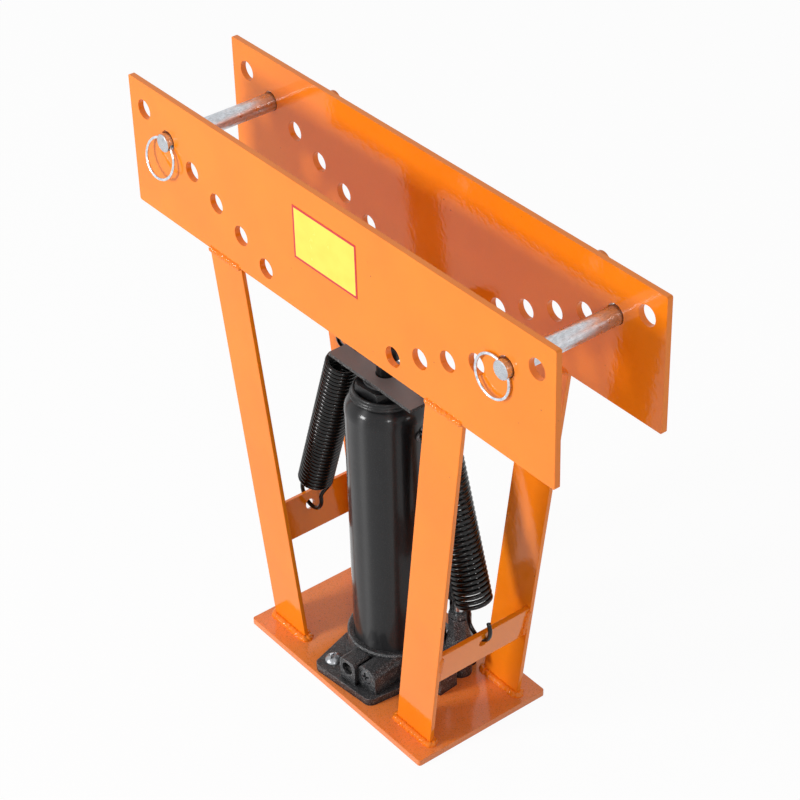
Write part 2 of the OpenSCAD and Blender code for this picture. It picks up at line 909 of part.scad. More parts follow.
module piston() {
    color(steel)
        in_jack()
            difference() {
                post(cylinder_bore_d / 2 - running_clear, piston_z, piston_top_z);
                tube(cylinder_bore_d, cylinder_bore_d / 2 - groove_depth,
                     piston_z + (piston_h - groove_h) / 2, piston_z + (piston_h + groove_h) / 2);
            }
}

module piston_seal() {
    color(rubber_grey)
        in_jack()
            tube(cylinder_bore_d / 2 - running_clear, cylinder_bore_d / 2 - groove_depth,
                 piston_z + (piston_h - groove_h) / 2, piston_z + (piston_h + groove_h) / 2);
}

// The ram carries a round socket in its top for the saddle's stem
module ram() {
    color(steel)
        in_jack()
            difference() {
                post(ram_d / 2, piston_top_z, ram_top_z);
                post(socket_d / 2, ram_top_z - socket_depth, ram_top_z + eps_cut);
            }
}

// Saddle: its stem stands in the ram's socket and passes the crosshead, its head takes a bending die
module ram_saddle() {
    head_r = saddle_d / 2;
    top = saddle_low_z + saddle_h;
    color(crosshead_black)
        in_jack()
            difference() {
                union() {
                    post(socket_d / 2 - seat_clear, ram_top_z - socket_depth + stop_gap, saddle_low_z);
                    post(head_r, saddle_low_z, top - saddle_chamfer);
                    translate([0, 0, top - saddle_chamfer])
                        cylinder(r1 = head_r, r2 = head_r - saddle_chamfer, h = saddle_chamfer);
                }
                post(die_socket_d / 2, top - die_socket_depth, top + eps_cut);
            }
}

module spring_crosshead() {
    color(crosshead_black)
        difference() {
            translate([0, 0, ram_top_z])
                linear_extrude(crosshead_t)
                    round_rect(crosshead_len, crosshead_w, crosshead_corner_r);
            post(crosshead_hole_d / 2, ram_top_z - eps_cut, crosshead_z + eps_cut);
            for (side = [-1, 1])
                translate([side * crosshead_hook_x, crosshead_hook_y, 0])
                    post(crosshead_hook_d / 2, ram_top_z - eps_cut, crosshead_z + eps_cut);
        }
}

module cross_cut(depth, w, arm) {
    for (a = [0, 90])
        rotate([0, 0, a])
            translate([-arm / 2, -w / 2, 0])
                cube([arm, w, depth]);
}

// Dome-headed screws that hold the casting's flange to the base plate
module jack_screws() {
    dome_r = (screw_head_d * screw_head_d / 4 + screw_head_h * screw_head_h) / (2 * screw_head_h);
    color(zinc)
        in_jack()
            for (spot = screw_spots)
                translate([spot[0], spot[1], 0])
                    difference() {
                        union() {
                            intersection() {
                                translate([0, 0, flange_top_z + screw_head_h - dome_r])
                                    sphere(dome_r);
                                post(screw_head_d, flange_top_z, far);
                            }
                            post(screw_d / 2, screw_floor, flange_top_z);
                        }
                        translate([0, 0, flange_top_z + screw_head_h - cross_depth])
                            cross_cut(2 * cross_depth, cross_w, cross_span * screw_head_d);
                    }
}

module overload_plug() {
    color(cast_black)
        in_jack()
            translate([plug_x, block_right_y, valve_z])
                difference() {
                    union() {
                        bar_y(plug_head_d / 2, 0, plug_head_t);
                        bar_y(plug_shank_d / 2, plug_head_t, plug_head_t + plug_shank_len);
                    }
                    rotate([90, 0, 0])
                        translate([0, 0, -cross_depth])
                            cross_cut(2 * cross_depth, cross_w, cross_span * plug_head_d);
                }
}

module filler_plug() {
    color(rubber_grey)
        in_jack()
            rotate([0, 0, filler_dir])
                translate([0, 0, filler_z])
                    rotate([0, 90, 0]) {
                        post(filler_head_d / 2, tank_r + filler_seat, tank_r + filler_head_h);
                        post(filler_head_d / 2 - filler_step, tank_r - tank_wall - filler_inside,
                             tank_r + filler_head_h);
                    }
}

// Slotted valve that lets the oil back when it is turned
module release_valve() {
    head_y = block_left_y + valve_recess - valve_head_t;
    color(steel)
        in_jack()
            translate([valve_x, 0, valve_z])
                difference() {
                    union() {
                        bar_y(valve_head_d / 2, head_y, head_y + valve_head_t - valve_end_gap);
                        bar_y(valve_stem_d / 2, head_y + valve_head_t / 2,
                              valve_bore_end_y - valve_end_gap);
                    }
                    translate([-valve_head_d, head_y - valve_slot_depth, -valve_slot_w / 2])
                        cube([2 * valve_head_d, 2 * valve_slot_depth, valve_slot_w]);
                }
}

module release_ball() {
    color(steel)
        in_jack()
            translate([valve_x, valve_bore_end_y + ball_r + valve_end_gap,
                       valve_z - ball_pocket_r + ball_r + running_clear])
                sphere(ball_r);
}

module inlet_ball() {
    color(steel)
        in_jack()
            translate([pump_x, pump_y, well_floor_z - ball_pocket_len + ball_r + running_clear])
                sphere(ball_r);
}

module pump_packing() {
    color(rubber_grey)
        in_jack()
            translate([pump_x, pump_y, 0])
                tube(plunger_d / 2 + packing_wall, plunger_d / 2 + seat_clear, pump_top_z,
                     pump_top_z + packing_seal_t);
}

module pump_packing_nut() {
    color(cast_black)
        in_jack()
            translate([pump_x, pump_y, pump_top_z])
                difference() {
                    cylinder(r = pump_d / 2, h = packing_h, $fn = 6);
                    post(plunger_d / 2 + running_clear, -eps_cut, packing_h + eps_cut);
                    post(plunger_d / 2 + packing_wall + seat_clear, -eps_cut,
                         packing_seal_t + seat_clear);
                }
}

// Raised plunger with a flat tongue and a cross hole at its top
module pump_plunger() {
    tongue_z = pump_top_z + packing_h + tongue_low_gap + plunger_travel;
    color(steel)
        in_jack()
            translate([pump_x, pump_y, 0])
                difference() {
                    union() {
                        post(plunger_d / 2, well_floor_z + plunger_low_gap + plunger_travel,
                             tongue_z);
                        translate([0, 0, tongue_z - eps_cut])
                            intersection() {
                                post(plunger_d / 2, 0, far);
                                translate([-far / 2, -tongue_w / 2, 0])
                                    cube([far, tongue_w, cross_pin_z + tongue_top_r - tongue_z]);
                            }
                    }
                    translate([0, 0, cross_pin_z])
                        bar_y(cross_pin_d / 2, -plunger_d, plunger_d);
                }
}

module plunger_cross_pin() {
    color(steel)
        in_jack()
            translate([pump_x, pump_y, cross_pin_z])
                bar_y(cross_pin_d / 2, -cheek_out + cheek_clear, cheek_out - cheek_clear);
}

module fulcrum_pin() {
    color(steel)
        in_jack()
            translate([fulcrum_x, pump_y, fulcrum_z])
                bar_y(fulcrum_d / 2, -ear_out - fulcrum_over, ear_out + fulcrum_over);
}

// Cheek of the handle socket in the XZ plane, round the fulcrum
module cheek_outline() {
    pin_at = [lever_arm, cross_pin_z - fulcrum_z];
    foot = socket_root + (socket_start + cheek_lap) * [cos(socket_angle), sin(socket_angle)];
    side = [-sin(socket_angle), cos(socket_angle)] * (handle_r - cheek_lap);
    pin_dir = atan2(pin_at[1], pin_at[0]);
    cross = [-sin(pin_dir), cos(pin_dir)] * cheek_boss_r;
    circle(cheek_boss_r);
    translate(pin_at)
        circle(cheek_boss_r);
    polygon([cross, foot + side, foot - side, pin_at - cross, -cross]);
}

module handle_socket() {
    slot_r = cross_pin_d / 2 + slot_clear;
    slot_from = lever_arm - slot_end_clear;
    slot_to = lever_arm / cos(half_swing) + slot_end_clear;
    color(gloss_black)
        in_jack()
            translate([fulcrum_x, pump_y, fulcrum_z])
                difference() {
                    union() {
                        for (s = [-1, 1])
                            upright_slab(min(s * cheek_in, s * cheek_out),
                                         max(s * cheek_in, s * cheek_out))
                                cheek_outline();
                        translate([socket_root[0], 0, socket_root[1]])
                            rotate([0, 90 - socket_angle, 0])
                                post(handle_r, socket_start, socket_start + handle_len);
                    }
                    translate([socket_root[0], 0, socket_root[1]])
                        rotate([0, 90 - socket_angle, 0])
                            post(handle_bore_d / 2, socket_start + socket_floor, far);
                    bar_y(fulcrum_d / 2 + running_clear, -far, far);
                    rotate([0, -half_swing, 0]) {
                        for (x = [slot_from, slot_to])
                            translate([x, 0, 0])
                                bar_y(slot_r, -far, far);
                        translate([slot_from, -far, -slot_r])
                            cube([slot_to - slot_from, 2 * far, 2 * slot_r]);
                    }
                }
}

// Barrel-shaped cross hole that the ring's curved wire can turn in
function ring_hole_r(t) =
    ring_r - sqrt(ring_r * ring_r - t * t) + ring_wire_d / 2 + ring_clear;

module ring_hole() {
    reach = pin_r + eps_cut;
    steps = 8;
    ts = [for (i = [0 : steps]) -reach + 2 * reach * i / steps];
    rotate([0, 90, 0])
        rotate_extrude()
            polygon(concat([[0, -reach]], [for (t = ts) [ring_hole_r(t), t]], [[0, reach]]));
}

module roller_pin(slope) {
    translate([0, 0, pin_z])
        difference() {
            translate([0, pin_tip_y + pin_len, 0])
                rotate([90, 0, 0]) {
                    cylinder(r1 = pin_r - pin_chamfer, r2 = pin_r, h = pin_chamfer);
                    post(pin_r, pin_chamfer, pin_len - pin_chamfer);
                    translate([0, 0, pin_len - pin_chamfer])
                        cylinder(r1 = pin_r, r2 = pin_r - pin_chamfer, h = pin_chamfer);
                }
            translate([0, ring_hole_y, 0])
                rotate([0, -slope, 0])
                    ring_hole();
        }
}

module left_roller_pin() {
    color(zinc)
        translate([-pin_x, 0, 0])
            roller_pin(left_ring_slope);
}

module right_roller_pin() {
    color(zinc)
        translate([pin_x, 0, 0])
            roller_pin(right_ring_slope);
}

// Wire ring that hangs from the cross hole
module pull_ring(slope, swing) {
    translate([0, ring_hole_y, pin_z])
        rotate([0, -slope, 0])
            rotate([-swing, 0, 0])
                translate([0, 0, -ring_r])
                    rotate([90, 0, 0])
                        rotate_extrude()
                            translate([ring_r, 0])
                                circle(ring_wire_d / 2);
}

module left_pull_ring() {
    color(zinc)
        translate([-pin_x, 0, 0])
            pull_ring(left_ring_slope, left_ring_swing);
}

module right_pull_ring() {
    color(zinc)
        translate([pin_x, 0, 0])
            pull_ring(right_ring_slope, right_ring_swing);
}

// Spring wire, in a frame whose Z is the spring's axis and whose X points outwards.
// Its middle runs as a helix, and each end turns into a hook in the XZ plane.
function coil_pt(a) =
    [spring_r * cos(a), spring_r * sin(a), spring_pitch * (a - coil_from) / 360];
function coil_dir(a) =
    let (v = [-spring_r * sin(a), spring_r * cos(a), spring_pitch / (2 * PI)]) v / norm(v);
function hook_pt(c, a) = [spring_r * cos(a), 0, c + spring_r * sin(a)];
function hermite(p, u, q, v, t) =
    p * (2 * t * t * t - 3 * t * t + 1) + u * (t * t * t - 2 * t * t + t)
    + q * (3 * t * t - 2 * t * t * t) + v * (t * t * t - t * t);

low_c = -lower_hook_drop;
high_c = spring_len + upper_hook_rise;
low_join = 150;       // angle on the lower hook where the coil's lead meets it
low_tip = 363;
high_join = -18;
high_tip = 172;
lead_pull = 20;       // how strongly a lead keeps the direction of what it leaves

low_join_dir = [sin(low_join), 0, -cos(low_join)];
high_join_dir = [-sin(high_join), 0, cos(high_join)];
low_tip_dir = [-sin(low_tip), 0, cos(low_tip)];
high_tip_dir = [-sin(high_tip), 0, cos(high_tip)];

spring_path = concat(
    [hook_pt(low_c, low_tip) + low_tip_dir * spring_wire_d],
    [for (i = [0 : hook_steps]) hook_pt(low_c, low_tip + (low_join - low_tip) * i / hook_steps)],
    [for (i = [1 : lead_steps]) hermite(hook_pt(low_c, low_join), low_join_dir * lead_pull,
        coil_pt(coil_from), coil_dir(coil_from) * lead_pull, i / (lead_steps + 1))],
    [for (a = [coil_from : curl_step : coil_to]) coil_pt(a)],
    [for (i = [1 : lead_steps]) hermite(coil_pt(coil_to), coil_dir(coil_to) * lead_pull,
        hook_pt(high_c, high_join), high_join_dir * lead_pull, i / (lead_steps + 1))],
    [for (i = [0 : hook_steps]) hook_pt(high_c, high_join + (high_tip - high_join) * i / hook_steps)],
    [hook_pt(high_c, high_tip) + high_tip_dir * spring_wire_d]);

function unit(v) = v / norm(v);
path_last = len(spring_path) - 1;
path_dirs = [for (i = [0 : path_last])
    unit(spring_path[min(i + 1, path_last)] - spring_path[max(i - 1, 0)])];
// Each ring's first side is carried on from the ring before it, so the tube doesn't twist
function carry(side, dir) = unit(side - dir * (side * dir));
path_sides = [for (i = 0, s = carry([0, 1, 0], path_dirs[0]); i <= path_last;
    i = i + 1, s = i <= path_last ? carry(s, path_dirs[i]) : s) s];

spring_points = [for (i = [0 : path_last], k = [0 : wire_sides - 1])
    let (a = 360 * k / wire_sides, s = path_sides[i], t = cross(path_dirs[i], s))
    spring_path[i] + (s * cos(a) + t * sin(a)) * spring_wire_d / 2];
spring_faces = concat(
    [[for (k = [0 : wire_sides - 1]) k]],
    [for (i = [0 : path_last - 1], k = [0 : wire_sides - 1])
        let (a = i * wire_sides + k, b = i * wire_sides + (k + 1) % wire_sides)
        [a, a + wire_sides, b + wire_sides]],
    [for (i = [0 : path_last - 1], k = [0 : wire_sides - 1])
        let (a = i * wire_sides + k, b = i * wire_sides + (k + 1) % wire_sides)
        [a, b + wire_sides, b]],
    [[for (k = [wire_sides - 1 : -1 : 0]) path_last * wire_sides + k]]);

// Least gap of the wire to itself, measured between points more than half a curl apart
spring_gap = min([for (i = [0 : path_last], j = [i + curl_rings - 2 : 1 : path_last])
    norm(spring_path[i] - spring_path[j])]) - spring_wire_d;
echo(str("least gap of a spring to itself: ", spring_gap));

// way is 1 where the spring leans towards +Y in its own frame, and -1 where it leans towards -Y
module spring_wire(way) {
    translate([bar_mid_x, 0, bar_mid_z])
        rotate([-way * spring_lean, 0, 0])
            rotate([0, -spring_tilt, 0])
                translate([0, 0, spring_low])
                    polyhedron(spring_points, spring_faces);
}

module right_return_spring() {
    color(gloss_black)
        spring_wire(1);
}

module left_return_spring() {
    color(gloss_black)
        rotate([0, 0, 180])
            spring_wire(-1);
}

base_plate();
front_side_plate();
rear_side_plate();
front_left_leg();
front_right_leg();
rear_left_leg();
rear_right_leg();
left_spring_bar();
right_spring_bar();
rear_pegs();
label_panel();
foot_welds();
top_welds();
bar_welds();
jack_base_casting();
oil_tank();
pressure_cylinder();
gland_nut();
rod_wiper();
tank_seal();
cylinder_seal();
jack_screws();
overload_plug();
filler_plug();
release_valve();
release_ball();
inlet_ball();
pump_packing_nut();
pump_packing();
fulcrum_pin();
pump_plunger();
plunger_cross_pin();
handle_socket();
ram();
piston();
piston_seal();
ram_saddle();
spring_crosshead();
left_return_spring();
right_return_spring();
left_roller_pin();
right_roller_pin();
left_pull_ring();
right_pull_ring();
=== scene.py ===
import math

import bmesh
import bpy
import numpy as np
from mathutils import Matrix, Vector


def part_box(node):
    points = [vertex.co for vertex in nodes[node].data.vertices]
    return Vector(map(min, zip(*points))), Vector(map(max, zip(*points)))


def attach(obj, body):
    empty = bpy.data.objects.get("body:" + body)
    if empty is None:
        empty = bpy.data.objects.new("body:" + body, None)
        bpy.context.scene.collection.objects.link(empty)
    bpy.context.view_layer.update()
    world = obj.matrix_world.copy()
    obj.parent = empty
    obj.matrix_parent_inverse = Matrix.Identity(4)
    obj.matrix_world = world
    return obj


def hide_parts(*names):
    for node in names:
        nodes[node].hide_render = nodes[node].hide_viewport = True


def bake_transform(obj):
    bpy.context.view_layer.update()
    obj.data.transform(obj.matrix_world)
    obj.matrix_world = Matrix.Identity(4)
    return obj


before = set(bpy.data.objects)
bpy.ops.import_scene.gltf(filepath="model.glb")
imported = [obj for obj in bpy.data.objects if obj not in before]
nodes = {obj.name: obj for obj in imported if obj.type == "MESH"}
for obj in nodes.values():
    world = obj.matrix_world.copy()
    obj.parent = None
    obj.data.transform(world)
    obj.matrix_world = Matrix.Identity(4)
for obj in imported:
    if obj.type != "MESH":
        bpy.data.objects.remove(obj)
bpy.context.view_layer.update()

# Upright hydraulic pipe bender. Everything is in metres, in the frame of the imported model:
# the front plate faces -Y, the side plates run along X, the base plate stands on z = 0.

mm = 0.001
print("frame loaded,", len(nodes), "CAD nodes")

photoCamera = {
    "place": (1.4664, -1.0997, 1.6187),   # metres
    "azimuth": 52.75,                     # degrees, from -Y towards +X
    "elevation": 35.366,
    "roll": -1.747,
    "focalPixels": 2419.1,                # for a picture of 800 pixels
    "pictureWidth": 800,
    "sensor": 36.0,                       # millimetres
    "farEnd": 60,
}


def makeCamera(facts):
    a, e, r = (math.radians(facts[k]) for k in ("azimuth", "elevation", "roll"))
    back = Vector((math.sin(a) * math.cos(e), -math.cos(a) * math.cos(e), math.sin(e)))
    level = (-back).cross(Vector((0, 0, 1))).normalized()
    above = level.cross(-back)
    right = math.cos(r) * level + math.sin(r) * above
    up = -math.sin(r) * level + math.cos(r) * above
    data = bpy.data.cameras.new("photoCamera")
    data.sensor_width = facts["sensor"]
    data.lens = facts["focalPixels"] / facts["pictureWidth"] * facts["sensor"]
    data.clip_end = facts["farEnd"]
    camera = bpy.data.objects.new("photoCamera", data)
    bpy.context.scene.collection.objects.link(camera)
    turn = Matrix((right, up, back)).transposed().to_4x4()
    camera.matrix_world = Matrix.Translation(facts["place"]) @ turn
    bpy.context.scene.camera = camera


makeCamera(photoCamera)
print("camera placed")


def newMaterial(name):
    material = bpy.data.materials.new(name)
    material.use_nodes = True
    tree = material.node_tree
    tree.nodes.clear()
    out = tree.nodes.new("ShaderNodeOutputMaterial")
    shader = tree.nodes.new("ShaderNodeBsdfPrincipled")
    tree.links.new(shader.outputs[0], out.inputs[0])
    return material, tree, shader


# One node: settings are its properties, sockets its inputs by name (or i0, i1 ... by number),
# each either a value or another node's output
def add(tree, kind, settings=None, **sockets):
    made = tree.nodes.new(kind)
    for key, value in (settings or {}).items():
        setattr(made, key, value)
    for key, value in sockets.items():
        byNumber = key[0] == "i" and key[1:].isdigit()
        socket = made.inputs[int(key[1:])] if byNumber else made.inputs[key.replace("_", " ")]
        if isinstance(value, bpy.types.NodeSocket):
            tree.links.new(value, socket)
        else:
            socket.default_value = value
    return made


def objectPlace(tree, stretch=(1, 1, 1)):
    place = add(tree, "ShaderNodeTexCoord").outputs["Object"]
    return add(tree, "ShaderNodeMapping", Vector=place, Scale=stretch).outputs[0]


def noise(tree, place, scale, detail=2.0, rough=0.5):
    made = add(tree, "ShaderNodeTexNoise", Vector=place, Scale=scale, Detail=detail, Roughness=rough)
    return made.outputs["Fac"]


# value from low..high carried to toLow..toHigh, held at both ends
def spread(tree, value, low, high, toLow, toHigh):
    made = add(tree, "ShaderNodeMapRange", {"clamp": True}, Value=value)
    for name, number in (("From Min", low), ("From Max", high), ("To Min", toLow), ("To Max", toHigh)):
        made.inputs[name].default_value = number
    return made.outputs[0]


def calc(tree, how, first, second):
    return add(tree, "ShaderNodeMath", {"operation": how}, i0=first, i1=second).outputs[0]


def blendColour(tree, factor, first, second):
    made = tree.nodes.new("ShaderNodeMix")
    made.data_type = "RGBA"
    for socket, value in ((made.inputs[0], factor), (made.inputs[6], first), (made.inputs[7], second)):
        if isinstance(value, bpy.types.NodeSocket):
            tree.links.new(value, socket)
        else:
            socket.default_value = value if isinstance(value, (int, float)) else (*value, 1.0)
    return made.outputs[2]


def bump(tree, height, distance, under=None):
    made = add(tree, "ShaderNodeBump", Height=height, Distance=distance)
    if under is not None:
        tree.links.new(under, made.inputs["Normal"])
    return made.outputs[0]


# range: the two normals' dot product on an open face and on an edge, then the mask there
edgeLean = {"samples": 4, "range": (0.99, 0.80, 0.0, 1.0)}


# 1 on edges and corners, 0 on open faces: how far a rounded normal leans from the true one
def edgeMask(tree, radius):
    rounded = add(tree, "ShaderNodeBevel", {"samples": edgeLean["samples"]}, Radius=radius).outputs[0]
    true = add(tree, "ShaderNodeNewGeometry").outputs["Normal"]
    lean = add(tree, "ShaderNodeVectorMath", {"operation": "DOT_PRODUCT"}, i0=rounded, i1=true)
    return spread(tree, lean.outputs["Value"], *edgeLean["range"])


# Enamel with a wavy orange peel, thin dark edges, dust and a few specks under the paint
orangeLooks = {
    "orangePaint": {
        "colour": (0.94, 0.235, 0.003), "deep": (0.80, 0.150, 0.002), "speck": (0.16, 0.035, 0.01),
        "smooth": 0.04, "dull": 0.09, "dust": (0.90, 0.60, 0.42), "dustShare": 0.015, "ior": 1.38,
        "peelScale": 210, "peelDepth": 0.110 * mm, "waveScale": 62, "waveDepth": 0.090 * mm,
        "pits": 0.05,
    },
    # the base plate lies flat and gathers dust
    "basePaint": {
        "colour": (0.88, 0.215, 0.008), "deep": (0.70, 0.140, 0.006), "speck": (0.20, 0.05, 0.02),
        "smooth": 0.08, "dull": 0.18, "dust": (0.86, 0.50, 0.42), "dustShare": 0.12, "ior": 1.45,
        "peelScale": 420, "peelDepth": 0.045 * mm, "waveScale": 62, "waveDepth": 0.050 * mm,
        "pits": 0.38,
    },
    "weldPaint": {
        "colour": (0.90, 0.215, 0.003), "deep": (0.68, 0.120, 0.002), "speck": (0.16, 0.035, 0.01),
        "smooth": 0.03, "dull": 0.09, "dust": (0.90, 0.60, 0.42), "dustShare": 0.01, "ior": 1.36,
        "peelScale": 330, "peelDepth": 0.030 * mm, "waveScale": 130, "waveDepth": 0.090 * mm,
        "pits": 0.05,
    },
}


# Patterns that the orange finishes share. A noise is its scale, detail and roughness, a range is
# from low to high, then the values that these become
orangeGrain = {
    "cloud": (14, 3), "cloudRange": (0.35, 0.75, 0, 0.30),
    "grit": (900, 3, 0.7), "gritRange": (0.40, 0.66, 0.4, 1.7),
    "pits": (760, 2, 0.6), "pitsRange": (0.43, 0.33, 0),
    "ragged": (220, 3), "raggedRange": (0.42, 0.62, 0.15, 0.75), "edge": 1.2 * mm,
    "rare": (23, 1), "rareRange": (0.60, 0.66, 0, 1),
    "speckScale": 90, "speckRange": (0.05, 0.09, 0.7, 0.0), "speckDepth": 0.08 * mm,
    "gloss": (40, 4), "glossRange": (0.3, 0.7), "waveDetail": 1, "peelDetail": 2,
}


def orangePaint(name):
    look, grain = orangeLooks[name], orangeGrain
    material, tree, shader = newMaterial(name)
    place = objectPlace(tree)
    cloud = spread(tree, noise(tree, place, *grain["cloud"]), *grain["cloudRange"])
    colour = blendColour(tree, cloud, look["colour"], look["deep"])
    grit = spread(tree, noise(tree, place, *grain["grit"]), *grain["gritRange"])
    colour = blendColour(tree, calc(tree, "MULTIPLY", grit, look["dustShare"]), colour, look["dust"])
    pits = spread(tree, noise(tree, place, *grain["pits"]), *grain["pitsRange"], look["pits"])
    colour = blendColour(tree, pits, colour, look["speck"])
    ragged = spread(tree, noise(tree, place, *grain["ragged"]), *grain["raggedRange"])
    edgeShare = calc(tree, "MULTIPLY", edgeMask(tree, grain["edge"]), ragged)
    colour = blendColour(tree, edgeShare, colour, look["deep"])
    cells = add(tree, "ShaderNodeTexVoronoi", Vector=place, Scale=grain["speckScale"])
    rare = spread(tree, noise(tree, place, *grain["rare"]), *grain["rareRange"])
    specks = spread(tree, cells.outputs["Distance"], *grain["speckRange"])
    speckMask = calc(tree, "MULTIPLY", rare, specks)
    colour = blendColour(tree, speckMask, colour, look["speck"])
    tree.links.new(colour, shader.inputs["Base Color"])
    gloss = noise(tree, place, *grain["gloss"])
    rough = spread(tree, gloss, *grain["glossRange"], look["smooth"], look["dull"])
    tree.links.new(rough, shader.inputs["Roughness"])
    shader.inputs["IOR"].default_value = look["ior"]
    wave = bump(tree, noise(tree, place, look["waveScale"], grain["waveDetail"]), look["waveDepth"])
    peel = noise(tree, place, look["peelScale"], grain["peelDetail"])
    fine = bump(tree, peel, look["peelDepth"], wave)
    tree.links.new(bump(tree, speckMask, grain["speckDepth"], fine), shader.inputs["Normal"])
    return material


# Black finishes: a dull grained layer that gives soft streaks, under a clear glossy one
blackLooks = {
    # the tank's paint was wiped on upright, which draws its highlights out into upright streaks
    "tankBlack": {
        "colour": (0.004, 0.004, 0.005), "smooth": 0.42, "dull": 0.50, "gloss": 0.27, "drawn": 0.97,
        "coat": 1.0, "coatIor": 1.27, "coatRough": 0.14, "grainScale": 620, "grainDepth": 0.045 * mm,
        "dust": 0.25, "dustTone": 0.06, "dustFrom": (0.52, 0.74), "edge": (0.05, 0.05, 0.052),
        "topSheen": (0, (0, 0, 0)), "paintedShadeReach": 0,
    },
    "glandBlack": {
        "colour": (0.003, 0.003, 0.0035), "smooth": 0.30, "dull": 0.48, "gloss": 0.30, "drawn": 0.0,
        "coat": 0.12, "coatIor": 1.5, "coatRough": 0.12, "grainScale": 420, "grainDepth": 0.50 * mm,
        "dust": 0.25, "dustTone": 0.06, "dustFrom": (0.52, 0.74), "edge": (0.05, 0.05, 0.052),
        "topSheen": (0, (0, 0, 0)), "paintedShadeReach": 0,
    },
    "springBlack": {
        "colour": (0.003, 0.003, 0.003), "smooth": 0.24, "dull": 0.36, "gloss": 0.10, "drawn": 0.0,
        "coat": 0.50, "coatIor": 1.5, "coatRough": 0.11, "grainScale": 420, "grainDepth": 0.008 * mm,
        "dust": 0.10, "dustTone": 0.03, "dustFrom": (0.52, 0.74), "edge": (0.012, 0.012, 0.012),
        "topSheen": (0, (0, 0, 0)), "paintedShadeReach": 0,
    },
    "plugBlack": {
        "colour": (0.060, 0.062, 0.066), "smooth": 0.30, "dull": 0.45, "gloss": 0.50, "drawn": 0.0,
        "coat": 0.15, "coatIor": 1.5, "coatRough": 0.10, "grainScale": 600, "grainDepth": 0.060 * mm,
        "dust": 0.4, "dustTone": 0.10, "dustFrom": (0.52, 0.66), "edge": (0.26, 0.26, 0.27),
        # painted shade reaches 3 mm into the cross of the plug's head
        "topSheen": (0, (0, 0, 0)), "paintedShadeReach": 3 * mm,
    },
    "crossheadBlack": {
        "colour": (0.018, 0.016, 0.016), "smooth": 0.36, "dull": 0.52, "gloss": 0.50, "drawn": 0.0,
        "coat": 0.0, "coatIor": 1.5, "coatRough": 0.1, "grainScale": 1300, "grainDepth": 0.080 * mm,
        "dust": 0.9, "dustTone": 0.18, "dustFrom": (0.50, 0.66), "edge": (0.015, 0.014, 0.014),
        # the crosshead's top gets a painted sheen in this lighter tone
        "topSheen": (0.92, (0.175, 0.148, 0.142)), "paintedShadeReach": 0,
    },
    "castBlack": {
        "colour": (0.006, 0.007, 0.009), "smooth": 0.32, "dull": 0.54, "gloss": 0.45, "drawn": 0.0,
        "coat": 0.30, "coatIor": 1.5, "coatRough": 0.12, "grainScale": 800, "grainDepth": 0.70 * mm,
        # the pale edge tone is worn paint and also a painted highlight, standing in for glints along the
        # casting's edges
        "dust": 0.95, "dustTone": 0.22, "dustFrom": (0.53, 0.61), "edge": (0.50, 0.51, 0.54),
        # faces of the casting that look up get a faint painted sheen
        # painted shade reaches 8 mm into the valve's recess and the casting's other hollows
        "topSheen": (0.45, (0.035, 0.035, 0.037)), "paintedShadeReach": 8 * mm,
    },
}


# Patterns that the black finishes share, written as above
blackGrain = {
    "dust": (900, 4, 0.7), "upRange": (0.70, 0.98, 0),
    "ragged": (300, 3), "raggedRange": (0.42, 0.62, 0.0, 0.8), "edge": 0.8 * mm,
    # painted shade in recesses: its samples, the range it is spread over and its near-black tone
    "paintedShadeSamples": 6, "paintedShadeRange": (0.30, 0.80, 0.0, 1.0), "paintedShadeTone": (0.001, 0.001, 0.001),
    "gloss": (60, 4), "glossRange": (0.3, 0.7), "ior": 1.5, "drawnTurn": 0.25,
    "wavePart": 6, "waveDetail": 1, "waveMore": 1.5, "fine": (3, 0.6),
}


